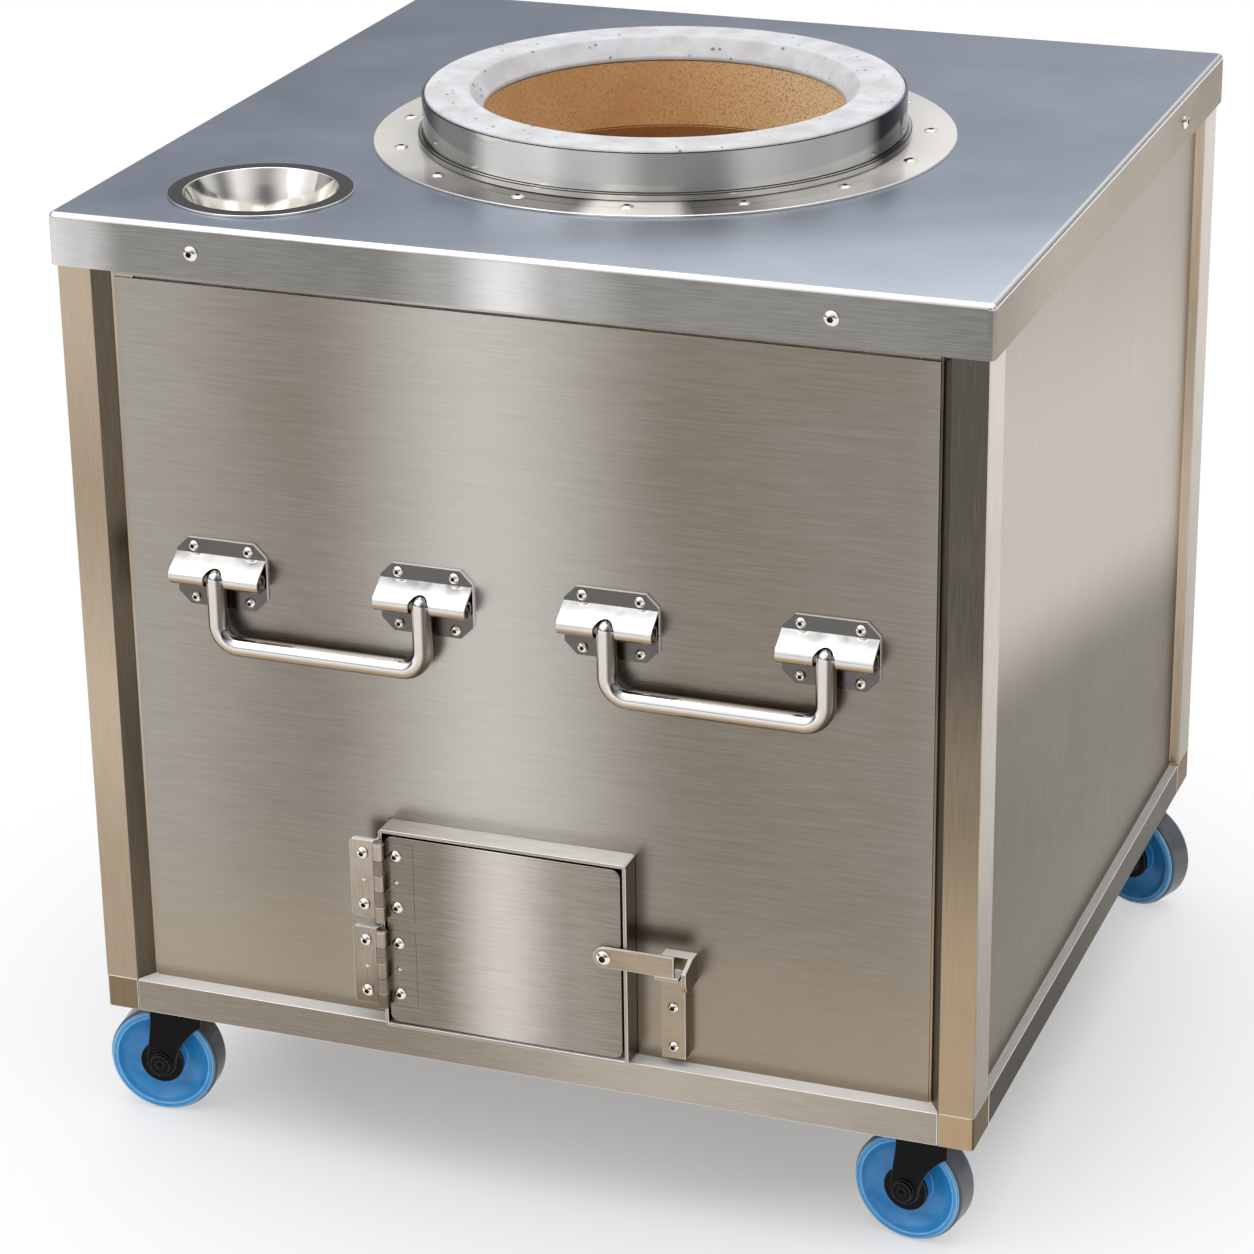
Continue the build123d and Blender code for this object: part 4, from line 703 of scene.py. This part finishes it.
# pale floor: as the background of the picture and of reflections it is near white, and it keeps shadows
floorLook = {"size": 14.0, "colour": (0.92, 0.92, 0.92, 1), "roughness": 0.9,
             "near": 0.36, "far": 0.8, "nearShare": 0.3, "farShare": 1.0}


def wholeFloor():
    bm = bmesh.new()
    bmesh.ops.create_grid(bm, x_segments=1, y_segments=1, size=floorLook["size"])
    data = bpy.data.meshes.new("floor")
    bm.to_mesh(data)
    bm.free()
    floor = bpy.data.objects.new("floor", data)
    bpy.context.scene.collection.objects.link(floor)
    material, tree, shader, place = newMaterial("floorPaper", 0.0, floorLook["roughness"])
    shader.inputs["Base Color"].default_value = floorLook["colour"]
    shader.inputs["Specular IOR Level"].default_value = 0.0
    distance = addNode(tree, "ShaderNodeVectorMath", {"operation": "LENGTH"})
    tree.links.new(place, distance.inputs[0])
    share = remap(tree, distance.outputs["Value"], floorLook["nearShare"], floorLook["farShare"],
                  floorLook["near"], floorLook["far"])
    rays = addNode(tree, "ShaderNodeLightPath")
    seen = arithmetic(tree, "MAXIMUM", rays.outputs["Is Camera Ray"], rays.outputs["Is Glossy Ray"])
    seen = arithmetic(tree, "MAXIMUM", seen, rays.outputs["Is Transmission Ray"])
    white = addNode(tree, "ShaderNodeEmission", values={"Color": (1, 1, 1, 1), "Strength": 1.0})
    mix = addNode(tree, "ShaderNodeMixShader")
    tree.links.new(arithmetic(tree, "MULTIPLY", seen, share), mix.inputs[0])
    tree.links.new(shader.outputs[0], mix.inputs[1])
    tree.links.new(white.outputs[0], mix.inputs[2])
    tree.links.new(mix.outputs[0], tree.nodes["Material Output"].inputs["Surface"])
    data.materials.append(material)


wholeFloor()

# studio round the object: even light overhead, softer panels and gaps between them lower down
studioLook = {
    "ceiling": (0.92, 0.93, 0.95), "rise": (0.69, 0.82),  # where the ceiling takes over from the panels
    "low": ((0.40, (0.9, 0.9, 0.9)), (0.49, (0.55, 0.55, 0.55)), (0.51, (0.10, 0.10, 0.10)),
            (0.55, (0.30, 0.30, 0.31)), (0.60, (0.46, 0.47, 0.49)), (0.68, (0.60, 0.61, 0.63))),
    "panels": 2.0,
    "round": ((0.00, 0.55), (0.08, 0.25), (0.19, 0.80), (0.30, 0.14), (0.42, 0.75), (0.50, 0.20),
              (0.58, 0.65), (0.66, 0.30), (0.76, 0.70), (0.83, 0.36), (0.92, 0.14), (1.00, 0.55)),
}


def studioWorld():
    world = bpy.data.worlds.new("studio")
    bpy.context.scene.world = world
    world.use_nodes = True
    sky = world.node_tree
    sky.nodes.clear()
    direction = addNode(sky, "ShaderNodeTexCoord").outputs["Generated"]
    parts = addNode(sky, "ShaderNodeSeparateXYZ")
    sky.links.new(direction, parts.inputs[0])
    height = remap(sky, parts.outputs["Z"], 0, 1, -1, 1)
    low = ramp(sky, height, studioLook["low"])
    screens = turnedTones(sky, direction, (0, 0), studioLook["round"])
    brighter = addNode(sky, "ShaderNodeVectorMath", {"operation": "SCALE"})
    brighter.inputs["Scale"].default_value = studioLook["panels"]
    sky.links.new(screens, brighter.inputs[0])
    lower = addNode(sky, "ShaderNodeVectorMath", {"operation": "MULTIPLY"})
    sky.links.new(low, lower.inputs[0])
    sky.links.new(brighter.outputs[0], lower.inputs[1])
    rise = remap(sky, height, 0, 1, *studioLook["rise"])
    colour = blendColours(sky, rise, lower.outputs[0], (*studioLook["ceiling"], 1))
    around = addNode(sky, "ShaderNodeBackground", values={"Strength": 1.0})
    sky.links.new(colour, around.inputs["Color"])
    output = addNode(sky, "ShaderNodeOutputWorld")
    sky.links.new(around.outputs[0], output.inputs["Surface"])


studioWorld()

boxLook = {
    "overheadBox": {"place": (0.0, -0.3, 3.6), "target": (0, 0, 0.4), "width": 3.6, "depth": 3.6,
                    "power": 50},
    "leftBox": {"place": (-3.0, -2.8, 3.2), "target": (0, 0, 0.5), "width": 4.2, "depth": 3.4,
                "power": 26},
}


def softBox(name, look):
    lamp = bpy.data.lights.new(name, "AREA")
    lamp.shape = "RECTANGLE"
    lamp.size, lamp.size_y = look["width"], look["depth"]
    lamp.energy = look["power"]
    box = bpy.data.objects.new(name, lamp)
    bpy.context.scene.collection.objects.link(box)
    box.location = look["place"]
    ray = Vector(look["target"]) - Vector(look["place"])
    box.rotation_euler = ray.to_track_quat("-Z", "Y").to_euler()


for name, look in boxLook.items():
    softBox(name, look)

cameraLook = {"place": (1.14005, -3.15219, 1.77293), "turn": (67.6148, 0.8239, 20.4548),
              "lens": 114.292, "shift": (0.00941, -0.01102)}
camera = bpy.data.objects.new("camera", bpy.data.cameras.new("camera"))
bpy.context.scene.collection.objects.link(camera)
camera.location = cameraLook["place"]
camera.rotation_euler = [math.radians(angle) for angle in cameraLook["turn"]]
camera.data.lens = cameraLook["lens"]
camera.data.shift_x, camera.data.shift_y = cameraLook["shift"]
bpy.context.scene.camera = camera
bpy.context.scene.view_settings.view_transform = "Standard"
print("stage, light and camera set")
